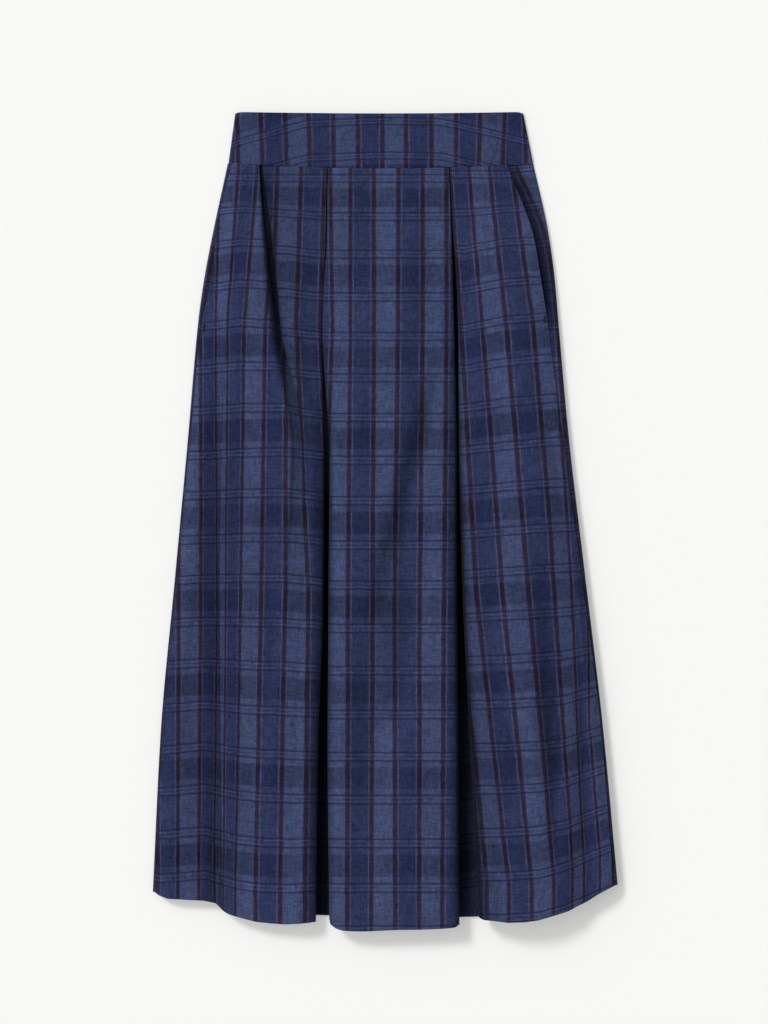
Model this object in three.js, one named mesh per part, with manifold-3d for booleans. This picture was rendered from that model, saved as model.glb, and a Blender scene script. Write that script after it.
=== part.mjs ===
// Pleated maxi skirt in plaid linen, lying on its back: +X right, +Y to the waistband, +Z up.
// Each cloth piece is a wall swept along its folded cross-section, from the waist to the hem.
import * as THREE from 'three';
import { mergeVertices } from 'three/addons/utils/BufferGeometryUtils.js';
import Module from 'manifold-3d';

// Driving dimensions, in millimetres
const clothThick = 1.0;
const bandThick = 1.8;
const seamGap = 0.3;
const layerPitch = 1.4;
const seamLap = 3;
const seamY = 437;
const seamDip = 6;
const seamHalfWidth = 186;
const bandTopY = 499.6;
const bandTopDip = 1.8;
const skirtRows = 22;

// Places of the stations, as shares of the length from the waist seam to the hem
const stations = {
  waist: 0, hip: 0.1, mouth: 0.163, pocketEnd: 0.216, thigh: 0.374, knee: 0.57, calf: 0.78, hem: 1,
};
const stationShares = Object.values(stations);

// Fold lines of the front panel, from its left seam to its right seam.
// soft is how far the cloth rounds each way at the line, steps the faces of that round, hem its y at the hem.
// x and z are the middle of the cloth at waist, hip, mouth, pocketEnd, thigh, knee, calf and hem.
const frontFolds = [
  { name: 'leftSeam', soft: 0, steps: 1, hem: -453,
    x: [-188, -207, -212, -223.5, -237.5, -254.5, -271.5, -279.5], z: [3.4, 5.4, 8.0, 6.6, 7.4, 8.4, 9.4, 10.4] },
  { name: 'leftRim', soft: 30, steps: 1, hem: -460,
    x: [-179.5, -199, -206.5, -216, -227, -242, -257.5, -262.5], z: [3.7, 6.4, 9.2, 8.6, 9.8, 11, 12, 12.6] },
  { name: 'leftCrest', soft: 30, steps: 2, hem: -462.5,
    x: [-172.5, -190.5, -199, -209, -216, -220, -221, -218.5], z: [4.1, 7.4, 9.6, 9.8, 12, 14, 15, 15.5] },
  { name: 'leftValley', soft: 30, steps: 2, hem: -468,
    x: [-167.5, -183, -190.5, -194, -196, -197.5, -196, -194.5], z: [4.3, 7.2, 8, 7.2, 6.2, 6, 6.4, 7] },
  { name: 'leftLip', soft: 30, steps: 2, hem: -473,
    x: [-162.5, -179.5, -188, -195, -200.5, -203.5, -202.5, -200.5], z: [4.5, 8, 10, 11.5, 13.5, 15.5, 17, 18] },
  { name: 'leftShoulder', soft: 30, steps: 2, hem: -482,
    x: [-158, -173.5, -179.5, -182, -182, -184.5, -184.5, -182], z: [4.7, 8.6, 11.2, 13, 17, 20.5, 23, 24] },
  { name: 'leftField', soft: 30, steps: 1, hem: -488.5,
    x: [-154.5, -162.5, -168, -170, -158, -156, -156, -158], z: [4.8, 8.2, 10.2, 11.5, 17, 21.5, 24, 25] },
  { name: 'pleatOneLeftTop', soft: 2, steps: 2, hem: -489.2,
    x: [-150.6, -153.5, -157.5, -158, -148, -145.5, -145.5, -148], z: [4.8, 6.6, 8, 9.4, 16, 21.5, 24, 25] },
  { name: 'pleatOneLeftUnder', soft: 2, steps: 2, hem: -489.7,
    x: [-150.6, -152.8, -154, -154, -143, -140.5, -140.5, -143], z: [3.4, 5.1, 6.6, 8, 15, 21, 24, 25] },
  { name: 'pleatOneInnerTop', soft: 2, steps: 1, hem: -490.2,
    x: [-156, -155, -150.5, -149.5, -138, -135.5, -135.5, -139.5], z: [3.4, 4.5, 5.4, 6.8, 14, 20.5, 24, 25] },
  { name: 'pleatOneInnerUnder', soft: 2, steps: 2, hem: -490.4,
    x: [-156, -153.8, -146, -145, -133, -131, -131, -135.5], z: [2, 3.1, 4.4, 5.8, 13.4, 20.2, 24.2, 25.2] },
  { name: 'pleatOneDeepUnder', soft: 2, steps: 2, hem: -490.7,
    x: [-138, -127, -124.5, -121, -125, -127, -127, -132], z: [2, 2.6, 3.4, 4.6, 13.2, 20, 24.4, 25.4] },
  { name: 'pleatOneDeepTop', soft: 2, steps: 2, hem: -490.9,
    x: [-138, -127, -124.5, -121, -118, -121, -123, -128.5], z: [3.4, 4.2, 5.2, 6.6, 14, 20.5, 24.6, 25.6] },
  { name: 'pleatOneRightUnder', soft: 3, steps: 2, hem: -491.2,
    x: [-150, -136.6, -133.5, -129, -108, -113, -118, -124.5], z: [3.4, 5.8, 7.4, 9, 16.6, 22, 25, 26] },
  { name: 'pleatOneRightTop', soft: 3, steps: 2, hem: -491.3,
    x: [-150, -136.6, -133.5, -129, -100.5, -105, -112, -118.5], z: [4.8, 8.6, 11, 13, 20, 23.2, 25.6, 26.4] },
  { name: 'leftPanelCrest', soft: 30, steps: 2, hem: -490.7,
    x: [-116, -112.5, -110, -106.5, -90.5, -92.5, -97, -103], z: [5.1, 9.6, 12.4, 15, 21, 24.6, 26.4, 27] },
  { name: 'leftPanelEdge', soft: 12, steps: 2, hem: -489.2,
    x: [-82, -83, -85.5, -88, -83, -83, -87.5, -93], z: [4.9, 8.9, 11.2, 13.2, 18.4, 21.4, 22.8, 23.4] },
  { name: 'pleatTwoLeftTop', soft: 5, steps: 2, hem: -488.2,
    x: [-71.2, -73.2, -75.6, -77.8, -78.2, -77, -81, -85.5], z: [4.8, 7.6, 9, 10.2, 13.4, 15.4, 16.4, 17] },
  { name: 'pleatTwoLeftUnder', soft: 5, steps: 2, hem: -484.8,
    x: [-71.2, -73.2, -75.6, -77.8, -78.2, -77, -81, -85.5], z: [3.4, 5, 5.6, 6.2, 7.6, 8.4, 8.8, 9] },
  { name: 'pleatTwoLeftDeepTop', soft: 3, steps: 2, hem: -481.2,
    x: [-99, -100.5, -102.5, -105, -106.5, -106.5, -111.5, -116], z: [3.4, 3.8, 4.1, 4.4, 5, 5.4, 5.6, 5.6] },
  { name: 'pleatTwoLeftDeepUnder', soft: 3, steps: 2, hem: -479.1,
    x: [-99, -100.5, -102.5, -105, -106.5, -106.5, -111.5, -116], z: [2, 2, 2, 2, 2, 2, 2, 2] },
  { name: 'pleatTwoRightDeepUnder', soft: 3, steps: 2, hem: -480.7,
    x: [-41.5, -44, -46, -47, -45.5, -38, -38, -38], z: [2, 2, 2, 2, 2, 2, 2, 2] },
  { name: 'pleatTwoRightDeepTop', soft: 3, steps: 2, hem: -482.4,
    x: [-41.5, -44, -46, -47, -45.5, -38, -38, -38], z: [3.4, 3.8, 4.1, 4.4, 5, 5.4, 5.6, 5.6] },
  { name: 'pleatTwoRightUnder', soft: 5, steps: 2, hem: -483,
    x: [-69.6, -71.4, -73.4, -75, -73, -67, -68, -69], z: [3.4, 5.2, 6.2, 7.2, 9.4, 11, 11.6, 12] },
  { name: 'pleatTwoRightTop', soft: 5, steps: 2, hem: -486,
    x: [-69.6, -71.4, -73.4, -75, -73, -67, -68, -69], z: [4.8, 8.2, 10.4, 12.4, 17.2, 20, 21, 21.4] },
  { name: 'midPanelLeft', soft: 18, steps: 2, hem: -498.6,
    x: [-55, -57.5, -59, -60, -57.5, -51.5, -50.5, -54], z: [5.2, 10, 13, 15.6, 21.4, 25.2, 27, 27.6] },
  { name: 'midPanelCrest', soft: 40, steps: 2, hem: -499,
    x: [3.5, 3.5, 3.5, 3.5, 4.5, 6, 8, 8.5], z: [5.4, 11, 14.6, 17.2, 23.2, 27.2, 29.2, 29.8] },
  { name: 'midPanelRight', soft: 18, steps: 2, hem: -496.6,
    x: [62, 65.5, 68, 69.5, 71.5, 71.5, 73, 74], z: [5.2, 10, 13, 15.6, 21.4, 25.2, 27, 27.6] },
  { name: 'pleatThreeLeftTop', soft: 5, steps: 2, hem: -493,
    x: [77.4, 81.4, 83.6, 85.5, 88, 88, 89, 90], z: [4.8, 8.2, 10.4, 12.4, 16.4, 19.2, 20.4, 21] },
  { name: 'pleatThreeLeftUnder', soft: 5, steps: 2, hem: -487.3,
    x: [77.4, 81.4, 83.6, 85.5, 88, 88, 89, 90], z: [3.4, 5.2, 6.2, 7.2, 9.2, 10.6, 11.6, 12.4] },
  { name: 'pleatThreeLeftDeepTop', soft: 3, steps: 2, hem: -484.3,
    x: [50, 56, 59.5, 62, 67, 70.5, 76, 80], z: [3.4, 3.8, 4.1, 4.4, 5, 5.4, 6, 6.4] },
  { name: 'pleatThreeLeftDeepUnder', soft: 3, steps: 2, hem: -483.2,
    x: [50, 56, 59.5, 62, 67, 70.5, 76, 80], z: [2, 2, 2, 2, 2, 2, 2, 2] },
  { name: 'pleatThreeRightDeepUnder', soft: 3, steps: 2, hem: -480.7,
    x: [106, 107.5, 109, 109.5, 108.5, 109.5, 120.5, 124], z: [2, 2, 2, 2, 2, 2, 2, 2] },
  { name: 'pleatThreeRightDeepTop', soft: 3, steps: 2, hem: -481.2,
    x: [106, 107.5, 109, 109.5, 108.5, 109.5, 120.5, 124], z: [3.4, 3.8, 4.1, 4.4, 5, 5.4, 6, 6.4] },
  { name: 'pleatThreeRightUnder', soft: 6, steps: 2, hem: -482,
    x: [79, 83, 85.2, 87.6, 91, 95, 111, 115], z: [3.4, 5.2, 6.6, 8, 11, 13.2, 15, 16.4] },
  { name: 'pleatThreeRightTop', soft: 6, steps: 2, hem: -483.2,
    x: [79, 83, 85.2, 87.6, 91, 95, 111, 115], z: [4.8, 8.6, 11.4, 14, 20, 25, 29, 32] },
  { name: 'rightPanelLeft', soft: 18, steps: 2, hem: -487.9,
    x: [93.5, 98.5, 101, 103.5, 108.5, 115.5, 130.5, 136.5], z: [5.2, 10, 13.6, 17, 25, 31, 36, 38.6] },
  { name: 'rightPanelCrest', soft: 30, steps: 2, hem: -489.2,
    x: [117, 130, 135, 140, 150, 161, 172, 176], z: [5.3, 10.6, 14.6, 18, 27, 34, 38.6, 41] },
  { name: 'rightPanelFall', soft: 24, steps: 2, hem: -478,
    x: [130, 153, 161, 168, 187, 202, 213, 216], z: [4.9, 10, 13.6, 16.4, 24, 30, 34, 36] },
  { name: 'rightValley', soft: 20, steps: 2, hem: -466.5,
    x: [137, 165, 174, 181.5, 203, 225.5, 236, 240.5], z: [4.5, 9, 12.6, 13.4, 17, 20, 23.4, 25] },
  { name: 'rightRidge', soft: 20, steps: 1, hem: -454,
    x: [142.5, 173.5, 183, 190, 209.5, 232, 252.5, 263], z: [4, 8, 11.8, 11.6, 14, 17, 21, 23.4] },
  { name: 'rightSeam', soft: 0, steps: 1, hem: -445.4,
    x: [148.5, 181, 190.5, 197.5, 215.5, 239.5, 262.5, 278.5], z: [3.4, 6.6, 10.4, 9.4, 11.4, 13.6, 15.8, 17.6] },
];

// Side folds of the back panel, where it turns up and round to the side seams on top.
// side is the outermost x of the cloth and rise the middle of its upper layer, at the same stations.
const leftWrap = {
  hem: -450.5,
  side: [-192, -211, -221.5, -228, -241.5, -258.5, -275.5, -283.5],
  rise: [2, 4, 4.6, 5.2, 6, 7, 8, 9],
};
const rightWrap = {
  hem: -436,
  side: [180.5, 199.5, 207, 211, 224, 245.5, 268.5, 283.5],
  rise: [2, 5.2, 6.6, 8, 10, 12.2, 14.4, 16.2],
};
const backZ = clothThick / 2;
const backHemMid = -472;

// The furthest that a corner's round reaches along the stretch to its neighbour, as a share of it
const roundReach = 0.49;

// Waistband: half-turns at the sides and seams, at its lower and upper edge
const band = {
  leftSide: [-190.5, -177.5],
  rightSide: [180.5, 168.5],
  leftSeam: [-186, -173],
  rightSeam: [149.2, 149.2],
  frontZ: 5.2,
  frontTopZ: 7,
  sideZ: 3.5,
  cornerDrop: 3,
  rowShares: [0, 0.25, 0.5, 0.78, 0.95, 1],
  crownShares: [0, 0.08, 0.3, 0.55, 0.8, 0.94, 1],
  crownSoft: 20,
};

// Closure at the centre back: a slider at the band's top, with its tab lying outside under the band.
// The band stands up over the tab along a channel, and is slit for the slider's neck.
const zip = {
  rise: 2.2,
  channelHalf: 9,
  rampHalf: 17,
  slitHalf: 1.3,
  pivotY: 493,
  pivotZ: 1.5,
  ringOuter: 1.35,
  ringHole: 0.95,
  neckWidth: 1.8,
  bodyWidth: 5,
  bodyLength: 10,
  bodyHeight: 1.4,
  barSize: 0.8,
  tabWidth: 4.6,
  tabLength: 22,
  windowHalf: 1.3,
  windowLength: 3.2,
  tabDrop: 1,
};

// Pocket bags, folded cloth under the fronts beside each pocket mouth, between two rows of the skirt
const pocketBag = {
  firstRow: 2, lastRow: 7, edgeGap: 0.6, lowRun: 7, highShort: 26, footCurve: 13, leftFold: -166, rightFold: 116,
};
const bagLowZ = backZ + layerPitch + 0.1;
const bagHighZ = bagLowZ + layerPitch;

const clothFinish = { color: 0x46547f, roughness: 0.9, metalness: 0 };
const bandFinish = { color: 0x4b5a86, roughness: 0.9, metalness: 0 };
const liningFinish = { color: 0x3c4870, roughness: 0.92, metalness: 0 };
const zipFinish = { color: 0x2c3553, roughness: 0.42, metalness: 0.6 };

const lerp = THREE.MathUtils.lerp;

// Monotone cubic through values given at the stations, so that a fold never overshoots
function atShare(values, share) {
  const knots = stationShares;
  const last = knots.length - 1;
  let i = 0;
  while (i < last - 1 && share > knots[i + 1]) {
    i += 1;
  }
  const slope = (k) => (values[k + 1] - values[k]) / (knots[k + 1] - knots[k]);
  const tangent = (k) => {
    if (k === 0) return slope(0);
    if (k === last) return slope(last - 1);
    const before = slope(k - 1);
    const after = slope(k);
    return before * after > 0 ? (2 * before * after) / (before + after) : 0;
  };
  const width = knots[i + 1] - knots[i];
  const t = (share - knots[i]) / width;
  const rise = t * t * (3 - 2 * t);
  const lead = t * (1 - t) * (1 - t) * width * tangent(i);
  const tail = t * t * (t - 1) * width * tangent(i + 1);
  return lerp(values[i], values[i + 1], rise) + lead + tail;
}

// Points along a path of corners { x, z, y, soft, steps }: each corner is an arc that ends soft away from it,
// or short of the middle of the stretch to its neighbour, and every point has its normal
function roundedPath(corners) {
  const points = [];
  const last = corners.length - 1;
  corners.forEach((corner, i) => {
    const here = new THREE.Vector2(corner.x, corner.z);
    const before = i > 0 ? corners[i - 1] : null;
    const after = i < last ? corners[i + 1] : null;
    const inward = before && here.clone().sub(new THREE.Vector2(before.x, before.z));
    const outward = after && new THREE.Vector2(after.x, after.z).sub(here);
    if (!inward || !outward) {
      const way = (inward || outward).clone().normalize();
      points.push({ x: here.x, z: here.y, y: corner.y, nx: -way.y, nz: way.x });
      return;
    }
    const reach = Math.min(corner.soft, inward.length() * roundReach, outward.length() * roundReach);
    const from = inward.clone().normalize();
    const to = outward.clone().normalize();
    const turn = Math.atan2(from.x * to.y - from.y * to.x, from.dot(to));
    const side = new THREE.Vector2(-from.y, from.x);
    const start = here.clone().addScaledVector(from, -reach);
    for (let k = 0; k < corner.steps; k += 1) {
      const part = (k + 0.5) / corner.steps;
      const angle = turn * part;
      const along = new THREE.Vector2();
      if (Math.abs(turn) < 1e-4) {
        along.copy(start).addScaledVector(from, 2 * reach * part);
      } else {
        const radius = reach / Math.tan(turn / 2);
        along.copy(start).addScaledVector(from, radius * Math.sin(angle));
        along.addScaledVector(side, radius * (1 - Math.cos(angle)));
      }
      const way = from.clone().rotateAround(new THREE.Vector2(), angle);
      const aside = part < 0.5 ? before : after;
      const stretch = part < 0.5 ? inward.length() : outward.length();
      const y = lerp(corner.y, aside.y, (reach / stretch) * Math.abs(1 - 2 * part));
      points.push({ x: along.x, z: along.y, y, nx: -way.y, nz: way.x });
    }
  });
  return points;
}

// Closed wall of the given thickness around a grid of path points, one path to a row
function wall(rows, thick) {
  const count = rows[0].length;
  const positions = [];
  const indices = [];
  [1, -1].forEach((face) => {
    rows.forEach((row) => {
      row.forEach((p) => {
        const out = (face * thick) / 2;
        positions.push(p.x + p.nx * out, p.y, p.z + p.nz * out);
      });
    });
  });
  const at = (face, r, c) => (face * rows.length + r) * count + c;
  const quad = (a, b, c, d) => indices.push(a, b, c, a, c, d);
  for (let r = 0; r < rows.length - 1; r += 1) {
    for (let c = 0; c < count - 1; c += 1) {
      quad(at(0, r, c), at(0, r + 1, c), at(0, r + 1, c + 1), at(0, r, c + 1));
      quad(at(1, r, c), at(1, r, c + 1), at(1, r + 1, c + 1), at(1, r + 1, c));
    }
    quad(at(0, r, 0), at(1, r, 0), at(1, r + 1, 0), at(0, r + 1, 0));
    quad(at(0, r, count - 1), at(0, r + 1, count - 1), at(1, r + 1, count - 1), at(1, r, count - 1));
  }
  const bottom = rows.length - 1;
  for (let c = 0; c < count - 1; c += 1) {
    quad(at(0, 0, c), at(0, 0, c + 1), at(1, 0, c + 1), at(1, 0, c));
    quad(at(0, bottom, c), at(1, bottom, c), at(1, bottom, c + 1), at(0, bottom, c + 1));
  }
  const geometry = new THREE.BufferGeometry();
  geometry.setAttribute('position', new THREE.Float32BufferAttribute(positions, 3));
  geometry.setIndex(indices);
  geometry.computeVertexNormals();
  return geometry;
}

// The same path run the other way, with its normals still on its left hand
function flipped(row) {
  return row.slice().reverse().map((p) => ({ ...p, nx: -p.nx, nz: -p.nz }));
}

// Height of the waist seam across the skirt: lowest in the middle
function seamAt(x) {
  const reach = Math.min(Math.abs(x) / seamHalfWidth, 1);
  return seamY - seamDip * (1 - reach * reach) - seamGap / 2;
}

// Rows lie closer together near the waist, where the folds change fastest
function rowShare(row) {
  return (row / (skirtRows - 1)) ** 1.15;
}

function frontRow(share) {
  const corners = frontFolds.map((fold) => {
    const x = atShare(fold.x, share);
    return {
      x,
      z: atShare(fold.z, share),
      y: lerp(seamAt(fold.x[0]), fold.hem, share),
      soft: fold.soft,
      steps: fold.steps,
    };
  });
  return roundedPath(corners);
}

function frontPanel() {
  const rows = [];
  for (let r = 0; r < skirtRows; r += 1) {
    rows.push(frontRow(rowShare(r)));
  }
  return wall(rows, clothThick);
}

// Where the back panel's upper layer ends, a lap inside the front's seam edge
function wrapEnd(seamFold, sign, share) {
  return atShare(seamFold.x, share) + sign * -seamLap;
}

function backRow(wrap, seamFold, sign, share) {
  const side = atShare(wrap.side, share) - sign * (clothThick / 2);
  const rise = atShare(wrap.rise, share);
  const end = wrapEnd(seamFold, sign, share);
  const hemAt = (x) => lerp(backHemMid, wrap.hem, Math.min(Math.abs(x / wrap.side[7]), 1) ** 2);
  const yAt = (x, hemX) => lerp(seamAt(x), hemAt(hemX), share);
  const corner = (x, z, soft, steps, hemX) => ({ x, z, soft, steps, y: yAt(x, hemX) });
  const half = (rise - backZ) * roundReach;
  return roundedPath([
    corner(sign * (seamGap / 2), backZ, 0, 1, 0),
    corner(side * 0.5, backZ, 10, 1, wrap.side[7] * 0.5),
    corner(side * 0.9, backZ, 10, 1, wrap.side[7] * 0.85),
    corner(side, backZ, half, 2, wrap.side[7] * 0.97),
    corner(side, rise, half, 2, wrap.side[7]),
    corner(end, rise, 0, 1, wrap.side[7]),
  ]);
}

function backPanel(wrap, seamFold, sign) {
  const rows = [];
  for (let r = 0; r < skirtRows; r += 1) {
    const row = backRow(wrap, seamFold, sign, rowShare(r));
    rows.push(sign < 0 ? flipped(row) : row);
  }
  return wall(rows, clothThick);
}

// Height in the waistband, from its seam to its dipping top edge with rounded corners at the sides
function bandY(x, side, share) {
  const reach = Math.min(Math.abs(x / side), 1);
  const top = bandTopY - bandTopDip * (1 - reach * reach) - band.cornerDrop * reach ** 24;
  return lerp(seamAt(x) + seamGap, top, share);
}

function bandFront() {
  const rows = band.rowShares.map((share) => {
    const left = lerp(...band.leftSeam, share) + seamGap / 2;
    const right = lerp(...band.rightSeam, share) - seamGap / 2;
    const side = lerp(...band.leftSide, share);
    return roundedPath(band.crownShares.map((part) => {
      const x = lerp(left, right, part);
      const atSeam = part === 0 || part === 1;
      const z = atSeam ? band.sideZ : lerp(band.frontZ, band.frontTopZ, share);
      return { x, z, soft: band.crownSoft, steps: 2, y: bandY(x, side, share) };
    }));
  }).reverse();
  return wall(rows, bandThick);
}

function bandBack(sides, seams, sign) {
  const flatZ = bandThick / 2;
  const rows = band.rowShares.map((share) => {
    const outermost = lerp(...sides, share);
    const side = outermost - sign * (bandThick / 2);
    const slit = bandY(0, outermost, share) > zip.pivotY - zip.bodyLength ? zip.slitHalf : seamGap / 2;
    const end = lerp(...seams, share) + sign * (seamGap / 2);
    const corner = (x, z, soft, steps) => ({ x, z, soft, steps, y: bandY(x, outermost, share) });
    const half = (band.sideZ - flatZ) * roundReach;
    const row = roundedPath([
      corner(sign * slit, flatZ + zip.rise, 0, 1),
      corner(sign * zip.channelHalf, flatZ + zip.rise, 3, 2),
      corner(sign * zip.rampHalf, flatZ, 3, 2),
      corner(side * 0.6, flatZ, 10, 1),
      corner(side, flatZ, half, 2),
      corner(side, band.sideZ, half, 2),
      corner(end, band.sideZ, 0, 1),
    ]);
    return sign < 0 ? flipped(row) : row;
  }).reverse();
  return wall(rows, bandThick);
}

// A pocket bag: one cloth folded back on itself, from the back's edge under the mouth to the front's
function pocketCloth(seamFold, wrap, sign, foldX) {
  const rows = [];
  const rowSpan = pocketBag.lastRow - pocketBag.firstRow;
  for (let r = pocketBag.firstRow; r <= pocketBag.lastRow; r += 1) {
    const share = rowShare(r);
    const edge = wrapEnd(seamFold, sign, share) - sign * pocketBag.edgeGap;
    const y = lerp(seamAt(wrap.side[0]), wrap.hem, share);
    const foot = ((r - pocketBag.firstRow) / rowSpan) ** 3;
    const fold = foldX + sign * pocketBag.footCurve * foot;
    const corner = (x, z, soft, steps) => ({ x, z, soft, steps, y });
    const row = roundedPath([
      corner(edge, Math.max(atShare(wrap.rise, share), bagLowZ), 0, 1),
      corner(edge - sign * pocketBag.lowRun, bagLowZ, 3, 2),
      corner(fold, bagLowZ, layerPitch / 2, 2),
      corner(fold, bagHighZ, layerPitch / 2, 2),
      corner(edge - sign * pocketBag.highShort, bagHighZ, 0, 1),
    ]);
    rows.push(sign > 0 ? flipped(row) : row);
  }
  return wall(rows, clothThick);
}

const wasm = await Module();
wasm.setup();

function toSolid(geometry) {
  const bare = geometry.clone();
  bare.deleteAttribute('normal');
  bare.deleteAttribute('uv');
  const merged = mergeVertices(bare);
  return new wasm.Manifold(new wasm.Mesh({
    numProp: 3,
    vertProperties: new Float32Array(merged.attributes.position.array),
    triVerts: new Uint32Array(merged.index.array),
  }));
}

function fromSolid(solid) {
  const mesh = solid.getMesh();
  const geometry = new THREE.BufferGeometry();
  geometry.setAttribute('position', new THREE.Float32BufferAttribute(mesh.vertProperties, 3));
  geometry.setIndex(Array.from(mesh.triVerts));
  geometry.computeVertexNormals();
  return geometry;
}

// The slider about its pivot: a body inside the band, and a neck through the slit that ends in a ring
function sliderGeometry() {
  const bodyZ = bandThick + zip.rise + seamGap - zip.pivotZ;
  const neckTop = bodyZ + zip.bodyHeight / 2;
  const side = new THREE.Shape();
  side.moveTo(-neckTop, zip.ringOuter);
  side.lineTo(0, zip.ringOuter);
  side.absarc(0, 0, zip.ringOuter, Math.PI / 2, -Math.PI / 2, true);
  side.lineTo(-neckTop, -zip.ringOuter);
  const eye = new THREE.Path();
  eye.absarc(0, 0, zip.ringHole, 0, 2 * Math.PI, false);
  side.holes.push(eye);
  const neck = new THREE.ExtrudeGeometry(side, { depth: zip.neckWidth, bevelEnabled: false, curveSegments: 10 });
  neck.translate(0, 0, -zip.neckWidth / 2);
  neck.rotateY(Math.PI / 2);
  const body = new THREE.BoxGeometry(zip.bodyWidth, zip.bodyLength, zip.bodyHeight);
  body.translate(0, -zip.bodyLength / 5, bodyZ + zip.bodyHeight / 2);
  return fromSolid(toSolid(neck).add(toSolid(body)));
}

// The tab about its pivot: a plate with a window for the ring, whose free end rests on the surface below
function tabGeometry() {
  const half = zip.tabWidth / 2;
  const top = zip.barSize / 2;
  const outline = new THREE.Shape();
  outline.moveTo(-half, top);
  outline.lineTo(-half, -zip.tabLength + half);
  outline.absarc(0, -zip.tabLength + half, half, Math.PI, 2 * Math.PI, false);
  outline.lineTo(half, top);
  const eye = new THREE.Path();
  eye.moveTo(-zip.windowHalf, -top);
  eye.lineTo(zip.windowHalf, -top);
  eye.lineTo(zip.windowHalf, -top - zip.windowLength);
  eye.lineTo(-zip.windowHalf, -top - zip.windowLength);
  outline.holes.push(eye);
  const plate = new THREE.ExtrudeGeometry(outline, { depth: zip.barSize, bevelEnabled: false, curveSegments: 10 });
  plate.translate(0, 0, -zip.barSize / 2);
  plate.rotateX(Math.asin(zip.tabDrop / zip.tabLength));
  return fromSolid(toSolid(plate));
}

function named(name, geometry, finish) {
  const mesh = new THREE.Mesh(geometry, new THREE.MeshStandardMaterial(finish));
  mesh.name = name;
  return mesh;
}

const firstFold = frontFolds[0];
const lastFold = frontFolds[frontFolds.length - 1];
const skirt = new THREE.Group();
skirt.add(named('front_panel', frontPanel(), clothFinish));
skirt.add(named('back_panel_left', backPanel(leftWrap, firstFold, -1), clothFinish));
skirt.add(named('back_panel_right', backPanel(rightWrap, lastFold, 1), clothFinish));
skirt.add(named('waistband_front', bandFront(), bandFinish));
skirt.add(named('waistband_back_left', bandBack(band.leftSide, band.leftSeam, -1), bandFinish));
skirt.add(named('waistband_back_right', bandBack(band.rightSide, band.rightSeam, 1), bandFinish));
skirt.add(named('pocket_left', pocketCloth(firstFold, leftWrap, -1, pocketBag.leftFold), liningFinish));
skirt.add(named('pocket_right', pocketCloth(lastFold, rightWrap, 1, pocketBag.rightFold), liningFinish));

const zipSlider = named('zip_slider', sliderGeometry(), zipFinish);
zipSlider.position.set(0, zip.pivotY, zip.pivotZ);
const zipTab = named('zip_pull_tab', tabGeometry(), zipFinish);
zipTab.position.set(0, zip.pivotY, zip.pivotZ);
skirt.add(zipSlider, zipTab);

export default skirt;
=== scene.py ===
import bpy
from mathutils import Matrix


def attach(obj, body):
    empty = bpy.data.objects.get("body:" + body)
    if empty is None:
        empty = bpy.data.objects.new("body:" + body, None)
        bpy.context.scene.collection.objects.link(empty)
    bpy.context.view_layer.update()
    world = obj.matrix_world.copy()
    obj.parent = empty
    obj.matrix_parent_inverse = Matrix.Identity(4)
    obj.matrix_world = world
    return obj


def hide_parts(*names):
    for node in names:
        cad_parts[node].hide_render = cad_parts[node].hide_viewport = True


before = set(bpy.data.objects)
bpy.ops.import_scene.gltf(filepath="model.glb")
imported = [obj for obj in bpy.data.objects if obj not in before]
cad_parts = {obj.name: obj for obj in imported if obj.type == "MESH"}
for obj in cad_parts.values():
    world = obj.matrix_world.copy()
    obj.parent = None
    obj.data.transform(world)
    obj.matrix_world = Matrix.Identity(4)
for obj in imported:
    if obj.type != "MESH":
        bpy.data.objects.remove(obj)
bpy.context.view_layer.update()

import math

import bpy
import numpy as np
from mathutils import Vector

# Pleated maxi skirt in plaid linen, lying on its back: sizes in mm unless a name says otherwise
mm = 0.001
clothThick = 1.0
bandThick = 1.8
seamGap = 0.3
layerPitch = 1.4
seamLap = 3
seamY = 437
seamDip = 6
seamHalfWidth = 186
bandTopY = 499.6
bandTopDip = 1.8
backZ = clothThick / 2

# Rows of cloth lie closer together near the waist, by this power. A rounded corner takes at most the
# share roundReach of the cloth on either side of it, and a turn below flatTurn counts as straight.
rowPower = 1.15
roundReach = 0.49
flatTurn = 1e-4
nearly = 0.01

# Waist, hip, pocket mouth, pocket end, thigh, knee, calf and hem, as shares from waist seam to hem
stationShares = np.array([0, 0.1, 0.163, 0.216, 0.374, 0.57, 0.78, 1])


# Camera: straight down from a stool's height
cameraLook = {"lens": 85, "sensor": 36, "x": -0.0015, "y": 0.0117, "height": 2.949}


def placeCamera():
    data = bpy.data.cameras.new("overhead")
    data.lens = cameraLook["lens"]
    data.sensor_width = cameraLook["sensor"]
    camera = bpy.data.objects.new("overhead", data)
    bpy.context.scene.collection.objects.link(camera)
    camera.location = (cameraLook["x"], cameraLook["y"], cameraLook["height"])
    bpy.context.scene.camera = camera
    print("camera placed")


# Floor and light: a white surface that glows a little, so that shadows on it stay pale, and soft light
# from the upper left
studioLook = {
    "floorSize": 9,
    "floorZ": -0.0002,
    "floorColor": (0.644, 0.644, 0.634),
    "floorGlow": (0.289, 0.289, 0.2835),
    "floorRoughness": 0.95,
    "floorSpecular": 0.1,
    "lampAway": 3,
    "keyWay": (-0.8, 0.84, 1.0),
    "keySpread": 14,
    "keyStrength": 1.92,
    "wallWay": (-1.2, 0.5, 0.8),
    "wallSpread": 80,
    "wallStrength": 1.2,
    "worldColor": (1.0, 0.995, 1.0),
    "worldStrength": 0.41,
}


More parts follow.
